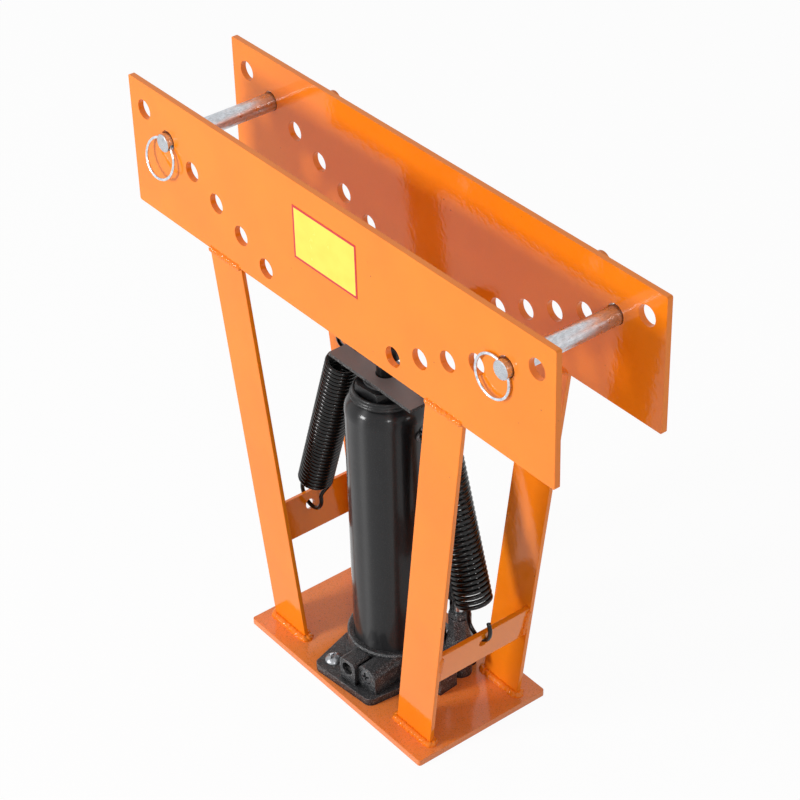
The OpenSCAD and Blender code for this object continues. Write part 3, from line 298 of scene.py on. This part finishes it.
def blackPaint(name):
    look, grain = blackLooks[name], blackGrain
    material, tree, shader = newMaterial(name)
    place = objectPlace(tree)
    dust = spread(tree, noise(tree, place, *grain["dust"]), *look["dustFrom"], 0, look["dust"])
    dusty = tuple(tone + look["dustTone"] for tone in look["colour"])
    colour = blendColour(tree, dust, look["colour"], dusty)
    # painted sheen: faces that look up are painted in a lighter tone, standing in for the sheen of the
    # bright surroundings above
    normal = add(tree, "ShaderNodeTexCoord").outputs["Normal"]
    upward = add(tree, "ShaderNodeSeparateXYZ", Vector=normal).outputs["Z"]
    share, tone = look["topSheen"]
    colour = blendColour(tree, spread(tree, upward, *grain["upRange"], share), colour, tone)
    # edges are painted in the edge tone: worn paint, and where that tone is pale, as on the casting,
    # also a painted highlight for glints along the edges
    ragged = spread(tree, noise(tree, place, *grain["ragged"]), *grain["raggedRange"])
    edgeShare = calc(tree, "MULTIPLY", edgeMask(tree, grain["edge"]), ragged)
    colour = blendColour(tree, edgeShare, colour, look["edge"])
    # painted shade: holes and recesses narrower than the set reach are painted near black, with their
    # gloss and coat turned down
    if look["paintedShadeReach"]:
        lit = add(tree, "ShaderNodeAmbientOcclusion", {"samples": grain["paintedShadeSamples"]},
                  Distance=look["paintedShadeReach"]).outputs["AO"]
        clear = spread(tree, lit, *grain["paintedShadeRange"])
        colour = blendColour(tree, clear, grain["paintedShadeTone"], colour)
        gloss = calc(tree, "MULTIPLY", clear, look["gloss"])
        tree.links.new(gloss, shader.inputs["Specular IOR Level"])
        tree.links.new(calc(tree, "MULTIPLY", clear, look["coat"]), shader.inputs["Coat Weight"])
    else:
        shader.inputs["Specular IOR Level"].default_value = look["gloss"]
        shader.inputs["Coat Weight"].default_value = look["coat"]
    tree.links.new(colour, shader.inputs["Base Color"])
    gloss = noise(tree, place, *grain["gloss"])
    rough = spread(tree, gloss, *grain["glossRange"], look["smooth"], look["dull"])
    tree.links.new(rough, shader.inputs["Roughness"])
    shader.inputs["IOR"].default_value = grain["ior"]
    if look["drawn"]:
        around = add(tree, "ShaderNodeTangent", {"direction_type": "RADIAL", "axis": "Z"}).outputs[0]
        tree.links.new(around, shader.inputs["Tangent"])
        shader.inputs["Anisotropic"].default_value = look["drawn"]
        shader.inputs["Anisotropic Rotation"].default_value = grain["drawnTurn"]
    shader.inputs["Coat Roughness"].default_value = look["coatRough"]
    shader.inputs["Coat IOR"].default_value = look["coatIor"]
    coarse = noise(tree, place, look["grainScale"] / grain["wavePart"], grain["waveDetail"])
    wave = bump(tree, coarse, look["grainDepth"] * grain["waveMore"])
    fine = noise(tree, place, look["grainScale"], *grain["fine"])
    tree.links.new(bump(tree, fine, look["grainDepth"], wave), shader.inputs["Normal"])
    tree.links.new(wave, shader.inputs["Coat Normal"])
    return material


# Plated or turned steel: faint streaks along the piece, blotches and small scratches
steelLooks = {
    "zincSteel": {"tone": (0.66, 0.69, 0.73), "streak": (5, 0.9, 5), "smooth": 0.22, "dull": 0.42},
    "ringZinc": {"tone": (0.80, 0.87, 0.95), "streak": (1, 1, 1), "smooth": 0.14, "dull": 0.32},
    "screwZinc": {"tone": (0.40, 0.41, 0.43), "streak": (1, 1, 1), "smooth": 0.26, "dull": 0.40},
    "turnedSteel": {"tone": (0.62, 0.63, 0.64), "streak": (1, 1, 6), "smooth": 0.16, "dull": 0.30},
    "oiledSteel": {"tone": (0.17, 0.165, 0.16), "streak": (1, 1, 1), "smooth": 0.28, "dull": 0.46},
}

steelGrain = {
    "lines": (260, 4, 0.6), "blotch": (160, 4, 0.6), "darker": 0.58, "linesRange": (0.42, 0.66, 0, 0.75),
    "blotchRange": (0.50, 0.68, 0, 0.55), "glossRange": (0.3, 0.7), "lineDepth": 0.010 * mm,
}


def bareSteel(name):
    look, grain = steelLooks[name], steelGrain
    material, tree, shader = newMaterial(name)
    place = objectPlace(tree)
    lines = noise(tree, objectPlace(tree, look["streak"]), *grain["lines"])
    blotch = noise(tree, place, *grain["blotch"])
    dark = tuple(tone * grain["darker"] for tone in look["tone"])
    colour = blendColour(tree, spread(tree, lines, *grain["linesRange"]), look["tone"], dark)
    colour = blendColour(tree, spread(tree, blotch, *grain["blotchRange"]), colour, dark)
    tree.links.new(colour, shader.inputs["Base Color"])
    shader.inputs["Metallic"].default_value = 1.0
    rough = spread(tree, blotch, *grain["glossRange"], look["smooth"], look["dull"])
    tree.links.new(rough, shader.inputs["Roughness"])
    tree.links.new(bump(tree, lines, grain["lineDepth"]), shader.inputs["Normal"])
    return material


# Rubber: its two tones, mixed by a fine grain
rubberLooks = {"sealRubber": ((0.030, 0.031, 0.033), (0.07, 0.07, 0.072)),
               "plugRubber": ((0.15, 0.15, 0.16), (0.24, 0.24, 0.25))}
rubberGrain = {"grain": (700, 4), "toneRange": (0.4, 0.7, 0, 1), "roughRange": (0.3, 0.7, 0.45, 0.65),
               "depth": 0.01 * mm}


def rubber(name):
    material, tree, shader = newMaterial(name)
    grain = noise(tree, objectPlace(tree), *rubberGrain["grain"])
    tone = spread(tree, grain, *rubberGrain["toneRange"])
    tree.links.new(blendColour(tree, tone, *rubberLooks[name]), shader.inputs["Base Color"])
    tree.links.new(spread(tree, grain, *rubberGrain["roughRange"]), shader.inputs["Roughness"])
    tree.links.new(bump(tree, grain, rubberGrain["depth"]), shader.inputs["Normal"])
    return material


# A bare yellow sticker with a plain printed frame along its edge
labelLook = {
    "yellow": (0.95, 0.71, 0.075), "faded": (0.90, 0.66, 0.06), "frame": (0.60, 0.006, 0.022),
    "frameWidth": 2.3 * mm, "blur": 0.1 * mm, "fade": (60, 3), "fadeRange": (0.4, 0.7, 0, 1),
    "gloss": (90, 3), "roughRange": (0.3, 0.7, 0.16, 0.28), "wave": (120, 2), "waveDepth": 0.020 * mm,
}


def labelSticker(name):
    material, tree, shader = newMaterial(name)
    low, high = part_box("label_panel")
    middle, half = (low + high) / 2, (high - low) / 2
    place = add(tree, "ShaderNodeTexCoord").outputs["Object"]
    apart = add(tree, "ShaderNodeSeparateXYZ", Vector=place)
    rims = []
    for axis in (0, 2):                   # along the sticker's length and height
        away = calc(tree, "SUBTRACT", apart.outputs[axis], middle[axis])
        away = calc(tree, "ABSOLUTE", away, 0.0)
        line = half[axis] - labelLook["frameWidth"]
        rims.append(spread(tree, away, line - labelLook["blur"], line + labelLook["blur"], 0, 1))
    rim = calc(tree, "MAXIMUM", *rims)
    fade = spread(tree, noise(tree, place, *labelLook["fade"]), *labelLook["fadeRange"])
    paper = blendColour(tree, fade, labelLook["yellow"], labelLook["faded"])
    tree.links.new(blendColour(tree, rim, paper, labelLook["frame"]), shader.inputs["Base Color"])
    rough = spread(tree, noise(tree, place, *labelLook["gloss"]), *labelLook["roughRange"])
    tree.links.new(rough, shader.inputs["Roughness"])
    wave = noise(tree, place, *labelLook["wave"])
    tree.links.new(bump(tree, wave, labelLook["waveDepth"]), shader.inputs["Normal"])
    return material


finish = {name: orangePaint(name) for name in orangeLooks}
finish.update({name: blackPaint(name) for name in blackLooks})
finish.update({name: bareSteel(name) for name in steelLooks})
finish.update({name: rubber(name) for name in rubberLooks})
finish["labelYellow"] = labelSticker("labelYellow")
print("finishes mixed:", len(finish))


def linkPiece(name, mesh, look, body, stands):
    piece = bpy.data.objects.new(name, mesh)
    bpy.context.scene.collection.objects.link(piece)
    mesh.materials.clear()
    mesh.materials.append(finish[look])
    mesh.shade_smooth()
    if body:
        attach(piece, body)
    if stands:
        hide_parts(*stands)
    return piece


# Quads of a rows x cols grid of points, row by row, the columns going round, the rows too if asked
def gridFaces(rows, cols, start=0, closeRows=False):
    i = np.arange(rows if closeRows else rows - 1)
    i, j = np.meshgrid(i, np.arange(cols), indexing="ij")
    i2, j2 = (i + 1) % rows, (j + 1) % cols
    quads = np.stack([i * cols + j, i * cols + j2, i2 * cols + j2, i2 * cols + j], -1)
    return start + quads.reshape(-1, 4)


# End faces that close the first and the last row of such a grid
def endFaces(rows, cols, start=0):
    first = np.arange(cols)[::-1] + start
    return [first.tolist(), (np.arange(cols) + (rows - 1) * cols + start).tolist()]


def meshOf(name, points, quads, caps=()):
    mesh = bpy.data.meshes.new(name)
    points = np.asarray(points, float).reshape(-1, 3).tolist()
    mesh.from_pydata(points, [], np.asarray(quads).tolist() + list(caps))
    mesh.validate()
    return mesh


# Directions along a path, from each point's neighbours
def pathWays(p, closed=False):
    d = np.roll(p, -1, 0) - np.roll(p, 1, 0)
    if not closed:
        d[0], d[-1] = p[1] - p[0], p[-1] - p[-2]
    return d / np.linalg.norm(d, axis=1)[:, None]


# Tube round a path: at path point p with direction d and side s (made square to d), the surface is
# p + r (s cos a + (d x s) sin a); r may change along the path and round it
def tubeAlong(p, radius, sides, side, closed=False):
    d = pathWays(p, closed)
    s = np.broadcast_to(side, p.shape)
    s = s - d * (s * d).sum(1)[:, None]
    s = s / np.linalg.norm(s, axis=1)[:, None]
    a = np.arange(sides) * 2 * math.pi / sides
    ring = s[:, None] * np.cos(a)[None, :, None] + np.cross(d, s)[:, None] * np.sin(a)[None, :, None]
    return p[:, None] + np.broadcast_to(radius, (len(p), sides))[:, :, None] * ring


# How edges are rounded and shaded: lengths in metres, angles in degrees
rounding = {"merge": 0.002 * mm, "flat": 0.2, "hardFrom": 35, "sharpFrom": 40, "headSharpFrom": 50,
            "segments": 2}


# The CAD node's own shape, its doubles merged, flat faces joined and every hard edge rounded
def roundedCopy(name, node, look, body, slot, width):
    work = bmesh.new()
    work.from_mesh(nodes[node].data)
    bmesh.ops.remove_doubles(work, verts=work.verts, dist=rounding["merge"])
    flat, hardFrom = math.radians(rounding["flat"]), math.radians(rounding["hardFrom"])
    bmesh.ops.dissolve_limit(work, angle_limit=flat, verts=work.verts, edges=work.edges)
    hard = [e for e in work.edges if len(e.link_faces) == 2 and e.calc_face_angle(0) > hardFrom]
    bmesh.ops.bevel(work, geom=hard, offset=width, offset_type="OFFSET", segments=rounding["segments"],
                    profile=0.5, affect="EDGES", clamp_overlap=True, harden_normals=False)
    bmesh.ops.recalc_face_normals(work, faces=work.faces)
    mesh = bpy.data.meshes.new(name)
    work.to_mesh(mesh)
    work.free()
    piece = linkPiece(name, mesh, look, body, (node,))
    mesh.set_sharp_from_angle(angle=math.radians(rounding["sharpFrom"]))
    weigh = piece.modifiers.new("flatFaces", "WEIGHTED_NORMAL")
    weigh.keep_sharp = True


roundedParts = {
    # piece: node, finish, body, slot, edge radius
    "frontSidePlate": ("front_side_plate", "orangePaint", "frame", "orange_paint", 0.7 * mm),
    "rearSidePlate": ("rear_side_plate", "orangePaint", "frame", "orange_paint", 0.7 * mm),
    "frontLeftLeg": ("front_left_leg", "orangePaint", "frame", "orange_paint", 0.6 * mm),
    "frontRightLeg": ("front_right_leg", "orangePaint", "frame", "orange_paint", 0.6 * mm),
    "rearLeftLeg": ("rear_left_leg", "orangePaint", "frame", "orange_paint", 0.6 * mm),
    "rearRightLeg": ("rear_right_leg", "orangePaint", "frame", "orange_paint", 0.6 * mm),
    "leftSpringBar": ("left_spring_bar", "orangePaint", "frame", "orange_paint", 0.6 * mm),
    "rightSpringBar": ("right_spring_bar", "orangePaint", "frame", "orange_paint", 0.6 * mm),
    "basePlate": ("base_plate", "basePaint", "frame", "orange_paint", 0.8 * mm),
    "rearPegs": ("rear_pegs", "orangePaint", "frame", "orange_paint", 0.8 * mm),
    "springCrosshead": ("spring_crosshead", "crossheadBlack", "ram", "crosshead_black", 0.5 * mm),
    "jackBaseCasting": ("jack_base_casting", "castBlack", "frame", "cast_black", 1.5 * mm),
    "glandNut": ("gland_nut", "glandBlack", "frame", "tank_black", 0.9 * mm),
    "ramSaddle": ("ram_saddle", "springBlack", "ram", "crosshead_black", 0.6 * mm),
}
for piece, facts in roundedParts.items():
    roundedCopy(piece, *facts)
print("frame, castings and nut rounded")

# Weld beads: a tube half sunk in the joint. At run s and angle a its radius is
# r (1 + ripple of the fish scales, bent back by cos a, + slow lumps), drawn in at open ends
weldLook = {
    "spacing": 0.45 * mm, "sides": 22, "scalePitch": 3.3 * mm, "scaleDepth": 0.10, "scaleBend": 0.42,
    "scaleHook": 0.8, "lumpDepth": 0.06, "lumpPitches": (17 * mm, 9.7 * mm, 6.1 * mm),
    "endLength": 1.3, "endLeft": 0.12, "nextPhase": 1.7,
}
# Where the beads run, in millimetres and degrees, for the legs and the bar at +X and +Y
footWeld = {"halfX": 25.275, "middleX": 100.025, "middleY": 54.75, "halfY": 2.25,
            "corner": 3.4, "cornerSteps": 7, "out": 1.2, "z": 7.2, "radius": 4.1}
topWeld = {"fromX": 136.65, "toX": 187.2, "rowsY": (57.0, 61.5), "z": 421.6, "radius": 3.1}
barWeld = {"place": (134.5, 0, 116), "tilt": 14.0, "faces": (0.0, 5.0), "middle": -6.9, "half": 17.8,
           "y": 53.5, "radius": 2.9}


# The same path in even steps
def evenly(points, spacing, closed):
    points = np.concatenate([points, points[:1]]) if closed else points
    run = np.concatenate([[0], np.cumsum(np.linalg.norm(np.diff(points, axis=0), axis=1))])
    at = np.linspace(0, run[-1], int(run[-1] / spacing), endpoint=not closed)
    return np.stack([np.interp(at, run, points[:, k]) for k in range(3)], -1), at, run[-1]


def weldBead(points, radius, phase, side, closed):
    w = weldLook
    path, run, total = evenly(np.asarray(points, float) * mm, w["spacing"], closed)
    a = np.arange(w["sides"]) * 2 * math.pi / w["sides"]
    pitch = total / round(total / w["scalePitch"])
    turn = 2 * math.pi * (run[:, None] / pitch + w["scaleBend"] * np.cos(a)[None] ** 2) + phase
    scales = w["scaleDepth"] * np.sin(turn + w["scaleHook"] * np.sin(turn))
    lumps = sum(np.sin(2 * math.pi * round(total / p) * run[:, None] / total + phase * (n + 2)
                       + (n + 1) * np.cos(a)[None]) for n, p in enumerate(w["lumpPitches"]))
    full = 1 + scales + w["lumpDepth"] * lumps
    if not closed:
        near = np.clip(np.minimum(run, total - run) / (w["endLength"] * radius * mm), 0, 1)
        full = full * (w["endLeft"] + (1 - w["endLeft"]) * np.sqrt(1 - (1 - near) ** 2))[:, None]
    return tubeAlong(path, radius * mm * full, w["sides"], side, closed), closed


# Path round a leg's foot, each corner a quarter of a circle
def roundedRectangle(f, sx, sy):
    inX, inY = (f[half] + f["out"] - f["corner"] for half in ("halfX", "halfY"))
    middles = [(inX, inY), (-inX, inY), (-inX, -inY), (inX, -inY)]
    t = np.linspace(0, math.pi / 2, f["cornerSteps"])
    arc = np.stack([np.cos(t), np.sin(t)], -1) * f["corner"]
    turn = np.array([[0, 1], [-1, 0]])            # one corner on, a quarter turn
    flat = np.concatenate([np.array(middle) + arc @ np.linalg.matrix_power(turn, k)
                           for k, middle in enumerate(middles)])
    flat = flat + np.array([f["middleX"], f["middleY"]])
    return np.column_stack([flat[:, 0] * sx, flat[:, 1] * sy, np.full(len(flat), f["z"])])


def weldPiece(name, node, beads):
    points, quads, caps, start = [], [], [], 0
    for tube, closed in beads:
        rows, cols = tube.shape[:2]
        points.append(tube.reshape(-1, 3))
        quads.append(gridFaces(rows, cols, start, closed))
        if not closed:
            caps += endFaces(rows, cols, start)
        start += rows * cols
    mesh = meshOf(name, np.concatenate(points), np.concatenate(quads), caps)
    linkPiece(name, mesh, "weldPaint", "frame", (node,))


# Side signs of the four legs, each with its own start in the ripple
def quarters():
    signs = [(-1, -1), (1, -1), (-1, 1), (1, 1)]
    return [(sx, sy, n * weldLook["nextPhase"]) for n, (sx, sy) in enumerate(signs)]


# Straight path up one face of a spring bar, at the bar's tilt
def barLine(sx, sy, face):
    t = math.radians(barWeld["tilt"])
    up, out = np.array([math.sin(t), 0, math.cos(t)]), np.array([math.cos(t), 0, -math.sin(t)])
    at = np.array(barWeld["place"]) + out * face
    ends = [at + up * (barWeld["middle"] + end * barWeld["half"]) for end in (-1, 1)]
    return np.array([(p[0] * sx, barWeld["y"] * sy, p[2]) for p in ends])


weldPiece("footWelds", "foot_welds", [
    weldBead(roundedRectangle(footWeld, sx, sy), footWeld["radius"], phase, (0, 0, 1), True)
    for sx, sy, phase in quarters()])
weldPiece("topWelds", "top_welds", [
    weldBead([(topWeld[end] * sx, y * sy, topWeld["z"]) for end in ("fromX", "toX")],
             topWeld["radius"], phase + y, (0, 0, 1), False)
    for sx, sy, phase in quarters() for y in topWeld["rowsY"]])
weldPiece("barWelds", "bar_welds", [
    weldBead(barLine(sx, sy, face), barWeld["radius"], phase + face, (0, 1, 0), False)
    for sx, sy, phase in quarters() for face in barWeld["faces"]])
print("weld beads laid")

# Return springs, in millimetres and degrees, as wound in the CAD
springLook = {
    "wire": 4.2, "radius": 16.1, "pitch": 5.07, "curls": 35, "from": -130.0, "endBack": 50.0,
    "tilt": 17.6, "lean": 1.1, "lowLead": 7.8, "lowJoin": 150.0, "lowTip": 363.0,
    "highJoin": -18.0, "highTip": 172.0, "pull": 20.0, "seatRise": 0.8,
    "crossheadTop": 349.3, "hookSink": 2.0, "barHole": (134.5, 116.0), "barTilt": 14.0, "barHalf": 2.5,
    "sides": 12, "ringsPerCurl": 30, "hookRings": 48, "leadRings": 14, "endDraw": 0.72, "endOut": 0.45,
}


# Wire of one spring, axis along Z: a helix (r cos a, r sin a, pitch a / 360), an eased lead at each
# end, and at each end a hook in the XZ plane (r cos a, 0, c + r sin a). The tube's side points
# outwards on the helix and along -Y on the hooks
def springPath(s, length, lift):
    r = s["radius"]
    to = 360.0 * s["curls"] - s["endBack"]

    def coil(a):
        t = np.radians(a)
        return np.stack([r * np.cos(t), r * np.sin(t), s["pitch"] * (a - s["from"]) / 360], -1)

    def coilWay(a):
        t = math.radians(a)
        v = np.array([-r * math.sin(t), r * math.cos(t), s["pitch"] / (2 * math.pi)])
        return v / np.linalg.norm(v)

    def hook(c, a):
        t = np.radians(a)
        return np.stack([r * np.cos(t), 0 * t, c + r * np.sin(t)], -1)

    def hookWay(a, sign):
        t = math.radians(a)
        return sign * np.array([math.sin(t), 0, -math.cos(t)])

    # cubic that leaves p along u and reaches q along v
    def lead(p, u, q, v):
        t = (np.arange(1, s["leadRings"] + 1) / (s["leadRings"] + 1))[:, None]
        return (p * (2 * t**3 - 3 * t**2 + 1) + u * (t**3 - 2 * t**2 + t)
                + q * (3 * t**2 - 2 * t**3) + v * (t**3 - t**2))

    low, high = -(r + s["lowLead"]), length + lift
    lowHook = hook(low, np.linspace(s["lowTip"], s["lowJoin"], s["hookRings"]))
    highHook = hook(high, np.linspace(s["highJoin"], s["highTip"], s["hookRings"]))
    turns = coil(np.linspace(s["from"], to, int((to - s["from"]) / 360 * s["ringsPerCurl"])))
    pull = s["pull"]
    parts = [
        lowHook[:1] + hookWay(s["lowTip"], -1) * s["wire"], lowHook,
        lead(lowHook[-1], hookWay(s["lowJoin"], 1) * pull, turns[0], coilWay(s["from"]) * pull),
        turns,
        lead(turns[-1], coilWay(to) * pull, highHook[0], hookWay(s["highJoin"], -1) * pull),
        highHook, highHook[-1:] + hookWay(s["highTip"], -1) * s["wire"],
    ]
    onHook, rise = np.zeros(s["hookRings"] + 1), np.linspace(0, 1, s["leadRings"])
    share = np.concatenate([onHook, rise, np.ones(len(turns)), rise[::-1], onHook])[:, None]
    share = share * share * (3 - 2 * share)
    path = np.concatenate(parts)
    outwards = path * (1, 1, 0) / r
    return path, (1 - share) * np.array([0, -1, 0]) + share * outwards


def returnSpring(name, node, way):
    s = springLook
    lean, tilt, barTilt = (math.radians(s[k]) for k in ("lean", "tilt", "barTilt"))
    barX = s["barHole"][0] + s["barHalf"] * math.cos(barTilt)
    barZ = s["barHole"][1] - s["barHalf"] * math.sin(barTilt)
    length = (360.0 * s["curls"] - s["endBack"] - s["from"]) / 360 * s["pitch"]
    low = s["radius"] + s["lowLead"] + s["radius"] + s["seatRise"]
    reach = (s["crossheadTop"] - s["hookSink"] - barZ) / (math.cos(tilt) * math.cos(lean))
    path, side = springPath(s, length, reach - low - length)
    tube = tubeAlong(path, s["wire"] / 2, s["sides"], side)
    ends = np.stack([tube[0], tube[-1]])                  # the wire's cut ends, drawn in a little
    middle = ends.mean(1, keepdims=True)
    out = path[[0, -1]] - path[[1, -2]]
    out /= np.linalg.norm(out, axis=1)[:, None]
    ends = middle + (ends - middle) * s["endDraw"] + out[:, None] * s["endOut"]
    tube = np.concatenate([ends[:1], tube, ends[1:]])
    place = (Matrix.Rotation(math.pi if way < 0 else 0, 4, "Z") @ Matrix.Translation((barX, 0, barZ))
             @ Matrix.Rotation(-way * lean, 4, "X") @ Matrix.Rotation(-tilt, 4, "Y")
             @ Matrix.Translation((0, 0, low)))
    turn = np.array(place)
    points = (tube.reshape(-1, 3) @ turn[:3, :3].T + turn[:3, 3]) * mm
    rows, cols = tube.shape[:2]
    mesh = meshOf(name, points, gridFaces(rows, cols), endFaces(rows, cols))
    piece = linkPiece(name, mesh, "springBlack", None, (node,))
    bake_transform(piece)


returnSpring("rightReturnSpring", "right_return_spring", 1)
returnSpring("leftReturnSpring", "left_return_spring", -1)
print("springs wound")

# Round heads with a crossed recess, in millimetres and radians: the height over the flat is
# dome(r) - depth where |x| or |y| is within the arms, eased over a small wall
jackTurn = math.radians(5.4)
screwHeads = {"radius": 9.25, "height": 5.5, "span": 4.9, "width": 1.2, "depth": 2.0, "rim": 0.9,
              "skirt": 0.4, "spots": ((-30.3, -55.6), (-36.0, 49.0), (28.0, 52.5)), "z": 15.0,
              "turn": 0.4, "nextTurn": 1.0}
plugHead = {"radius": 7.6, "height": 0.9, "span": 4.6, "width": 1.1, "depth": 3.6, "rim": 0.9,
            "skirt": 2.2, "place": (25.0, -63.0, 31.0), "turn": 0.2}
headGrid = {"rings": 44, "steps": 120, "wall": 0.35, "middle": 0.12, "rimRound": 0.96, "armFall": 0.25}


def crossedHead(h):
    g = headGrid
    r = np.linspace(g["middle"], 1, g["rings"])[:, None] * h["radius"]
    a = np.arange(g["steps"])[None] * 2 * math.pi / g["steps"]
    x, y = r * np.cos(a), r * np.sin(a)
    curve = (h["radius"] ** 2 + h["height"] ** 2) / (2 * h["height"])
    z = np.sqrt(curve**2 - r**2) - (curve - h["height"]) + 0 * a
    fall = np.clip((r - (h["radius"] - h["rim"])) / h["rim"], 0, 1)
    z = z - h["rim"] * (1 - np.sqrt(1 - g["rimRound"] * fall**2))

    def arm(u, v):
        across = np.clip((h["width"] - np.abs(v)) / g["wall"] + 0.5, 0, 1)
        along = np.clip((h["span"] - np.abs(u)) / (2 * g["wall"]) + 0.5, 0, 1)
        deep = across * across * (3 - 2 * across) * along * along * (3 - 2 * along)
        return deep * (1 - g["armFall"] * np.abs(u) / h["span"])

    z = z - h["depth"] * np.maximum(arm(x, y), arm(y, x))
    top = np.stack([x, y, z], -1)
    foot = top[-1:] * (1, 1, 0) - np.array([0, 0, h["skirt"]])
    return np.concatenate([top, foot])


def headPiece(name, node, heads, look):
    points, quads, caps, start = [], [], [], 0
    for head, place in heads:
        grid = crossedHead(head)
        rows, cols = grid.shape[:2]
        turn = np.array(place)
        points.append((grid.reshape(-1, 3) @ turn[:3, :3].T + turn[:3, 3]) * mm)
        quads.append(gridFaces(rows, cols, start)[:, ::-1])
        caps += [face[::-1] for face in endFaces(rows, cols, start)]
        start += rows * cols
    mesh = meshOf(name, np.concatenate(points), np.concatenate(quads), caps)
    linkPiece(name, mesh, look, "frame", (node,))
    mesh.set_sharp_from_angle(angle=math.radians(rounding["headSharpFrom"]))


inJack = Matrix.Rotation(jackTurn, 4, "Z")
screwPlaces = []
for n, (x, y) in enumerate(screwHeads["spots"]):
    turn = Matrix.Rotation(screwHeads["turn"] + n * screwHeads["nextTurn"], 4, "Z")
    screwPlaces.append((screwHeads, inJack @ Matrix.Translation((x, y, screwHeads["z"])) @ turn))
headPiece("jackScrews", "jack_screws", screwPlaces, "screwZinc")
toFront = Matrix.Rotation(math.pi / 2, 4, "X") @ Matrix.Rotation(plugHead["turn"], 4, "Z")
plugPlace = inJack @ Matrix.Translation(plugHead["place"]) @ toFront
headPiece("overloadPlug", "overload_plug", [(plugHead, plugPlace)], "plugBlack")
print("screw and plug heads cut")

# Rolled lip of the tank's neck: the profile's radius and height, turned about the jack's axis
neckLip = {
    "profile": ((28.0, 330.0), (28.6, 334.0), (29.4, 334.9), (30.6, 335.2), (31.7, 334.8), (32.3, 333.8),
                (32.4, 332.6), (32.6, 331.6), (33.4, 330.6), (34.6, 329.4), (35.0, 328.2), (34.0, 327.0),
                (30.0, 327.0)),
    "steps": 128,
}


def turnedRing(name, facts, look):
    profile = np.array(facts["profile"])
    a = np.arange(facts["steps"])[:, None] * 2 * math.pi / facts["steps"]
    r, z = profile[:, 0][None], profile[:, 1][None]
    points = np.stack([r * np.cos(a), r * np.sin(a), z + 0 * a], -1) * mm
    quads = gridFaces(facts["steps"], len(profile), closeRows=True)
    piece = linkPiece(name, meshOf(name, points, quads), look, "frame", ())
    soften = piece.modifiers.new("softer", "SUBSURF")
    soften.levels = soften.render_levels = 1


turnedRing("tankNeckLip", neckLip, "glandBlack")
print("neck lip turned")

# CAD nodes that keep their shape
keptNodes = {
    "labelYellow": ["label_panel"],
    "tankBlack": ["oil_tank", "handle_socket"],
    "castBlack": ["pump_packing_nut"],
    "zincSteel": ["left_roller_pin", "right_roller_pin"],
    "ringZinc": ["left_pull_ring", "right_pull_ring"],
    "oiledSteel": ["release_valve", "fulcrum_pin", "plunger_cross_pin"],
    "turnedSteel": ["pressure_cylinder", "release_ball", "inlet_ball", "pump_plunger", "ram", "piston"],
    "sealRubber": ["rod_wiper", "tank_seal", "cylinder_seal", "pump_packing", "piston_seal"],
    "plugRubber": ["filler_plug"],
}
for look, names in keptNodes.items():
    for name in names:
        data = nodes[name].data
        if not len(data.materials):
            data.materials.append(None)
        for n in range(len(data.materials)):
            data.materials[n] = finish[look]
print("kept nodes painted")

studio = {
    "floorSize": 30.0, "floorTone": 0.80, "whiteShare": 0.95,
    # world light that comes from -X and from +X
    "fillLeftRight": (0.62, 0.30), "middle": (0, 0, 0.28),
    # lamp: direction it stands in, distance, size, level on a face square to it
    "lamps": {
        "keySoftbox": ((-0.27, -0.95, 0.35), 2.8, 0.62, 0.67),
        "cameraSoftbox": ((0.84, -0.55, 0.58), 3.0, 0.32, 0.13),
        "sideSoftbox": ((0.95, 0.32, 0.35), 2.8, 0.34, 0.045),
    },
}


# 1 for rays that should see plain white: those of the camera, of mirrors and of glass
def seenWhite(tree):
    path = add(tree, "ShaderNodeLightPath")
    seen = calc(tree, "MAXIMUM", path.outputs["Is Camera Ray"], path.outputs["Is Glossy Ray"])
    return calc(tree, "MAXIMUM", seen, path.outputs["Is Transmission Ray"])


def makeFloor():
    half = studio["floorSize"] / 2
    corners = [(-half, -half, 0), (half, -half, 0), (half, half, 0), (-half, half, 0)]
    mesh = meshOf("floor", corners, [(0, 1, 2, 3)])
    floor = bpy.data.objects.new("floor", mesh)
    bpy.context.scene.collection.objects.link(floor)
    material = bpy.data.materials.new("floorWhite")
    material.use_nodes = True
    tree = material.node_tree
    tree.nodes.clear()
    matt = add(tree, "ShaderNodeBsdfDiffuse", Color=(*[studio["floorTone"]] * 3, 1))
    white = add(tree, "ShaderNodeEmission", Color=(1, 1, 1, 1), Strength=1.0)
    share = calc(tree, "MULTIPLY", seenWhite(tree), studio["whiteShare"])
    mix = add(tree, "ShaderNodeMixShader", i0=share, i1=matt.outputs[0], i2=white.outputs[0])
    add(tree, "ShaderNodeOutputMaterial", Surface=mix.outputs[0])
    mesh.materials.append(material)


def makeWorld():
    world = bpy.data.worlds.new("studioWorld")
    bpy.context.scene.world = world
    world.use_nodes = True
    tree = world.node_tree
    tree.nodes.clear()
    way = add(tree, "ShaderNodeTexCoord").outputs["Generated"]
    across = add(tree, "ShaderNodeSeparateXYZ", Vector=way).outputs["X"]
    fill = spread(tree, across, -1, 1, *studio["fillLeftRight"])
    level = calc(tree, "MAXIMUM", seenWhite(tree), fill)
    ground = add(tree, "ShaderNodeBackground", Color=(1, 1, 1, 1), Strength=level)
    add(tree, "ShaderNodeOutputWorld", Surface=ground.outputs[0])


def makeLamps():
    for name, (way, distance, size, level) in studio["lamps"].items():
        data = bpy.data.lights.new(name, "AREA")
        data.shape = "SQUARE"
        data.size = size
        # power that gives a white face at this distance the wanted level
        data.energy = level * math.pi**2 * distance**2
        lamp = bpy.data.objects.new(name, data)
        bpy.context.scene.collection.objects.link(lamp)
        back = Vector(way).normalized()
        lamp.location = Vector(studio["middle"]) + back * distance
        lamp.rotation_euler = back.to_track_quat("Z", "Y").to_euler()


makeFloor()
makeWorld()
makeLamps()
bpy.context.scene.view_settings.view_transform = "Standard"
print("studio lit")
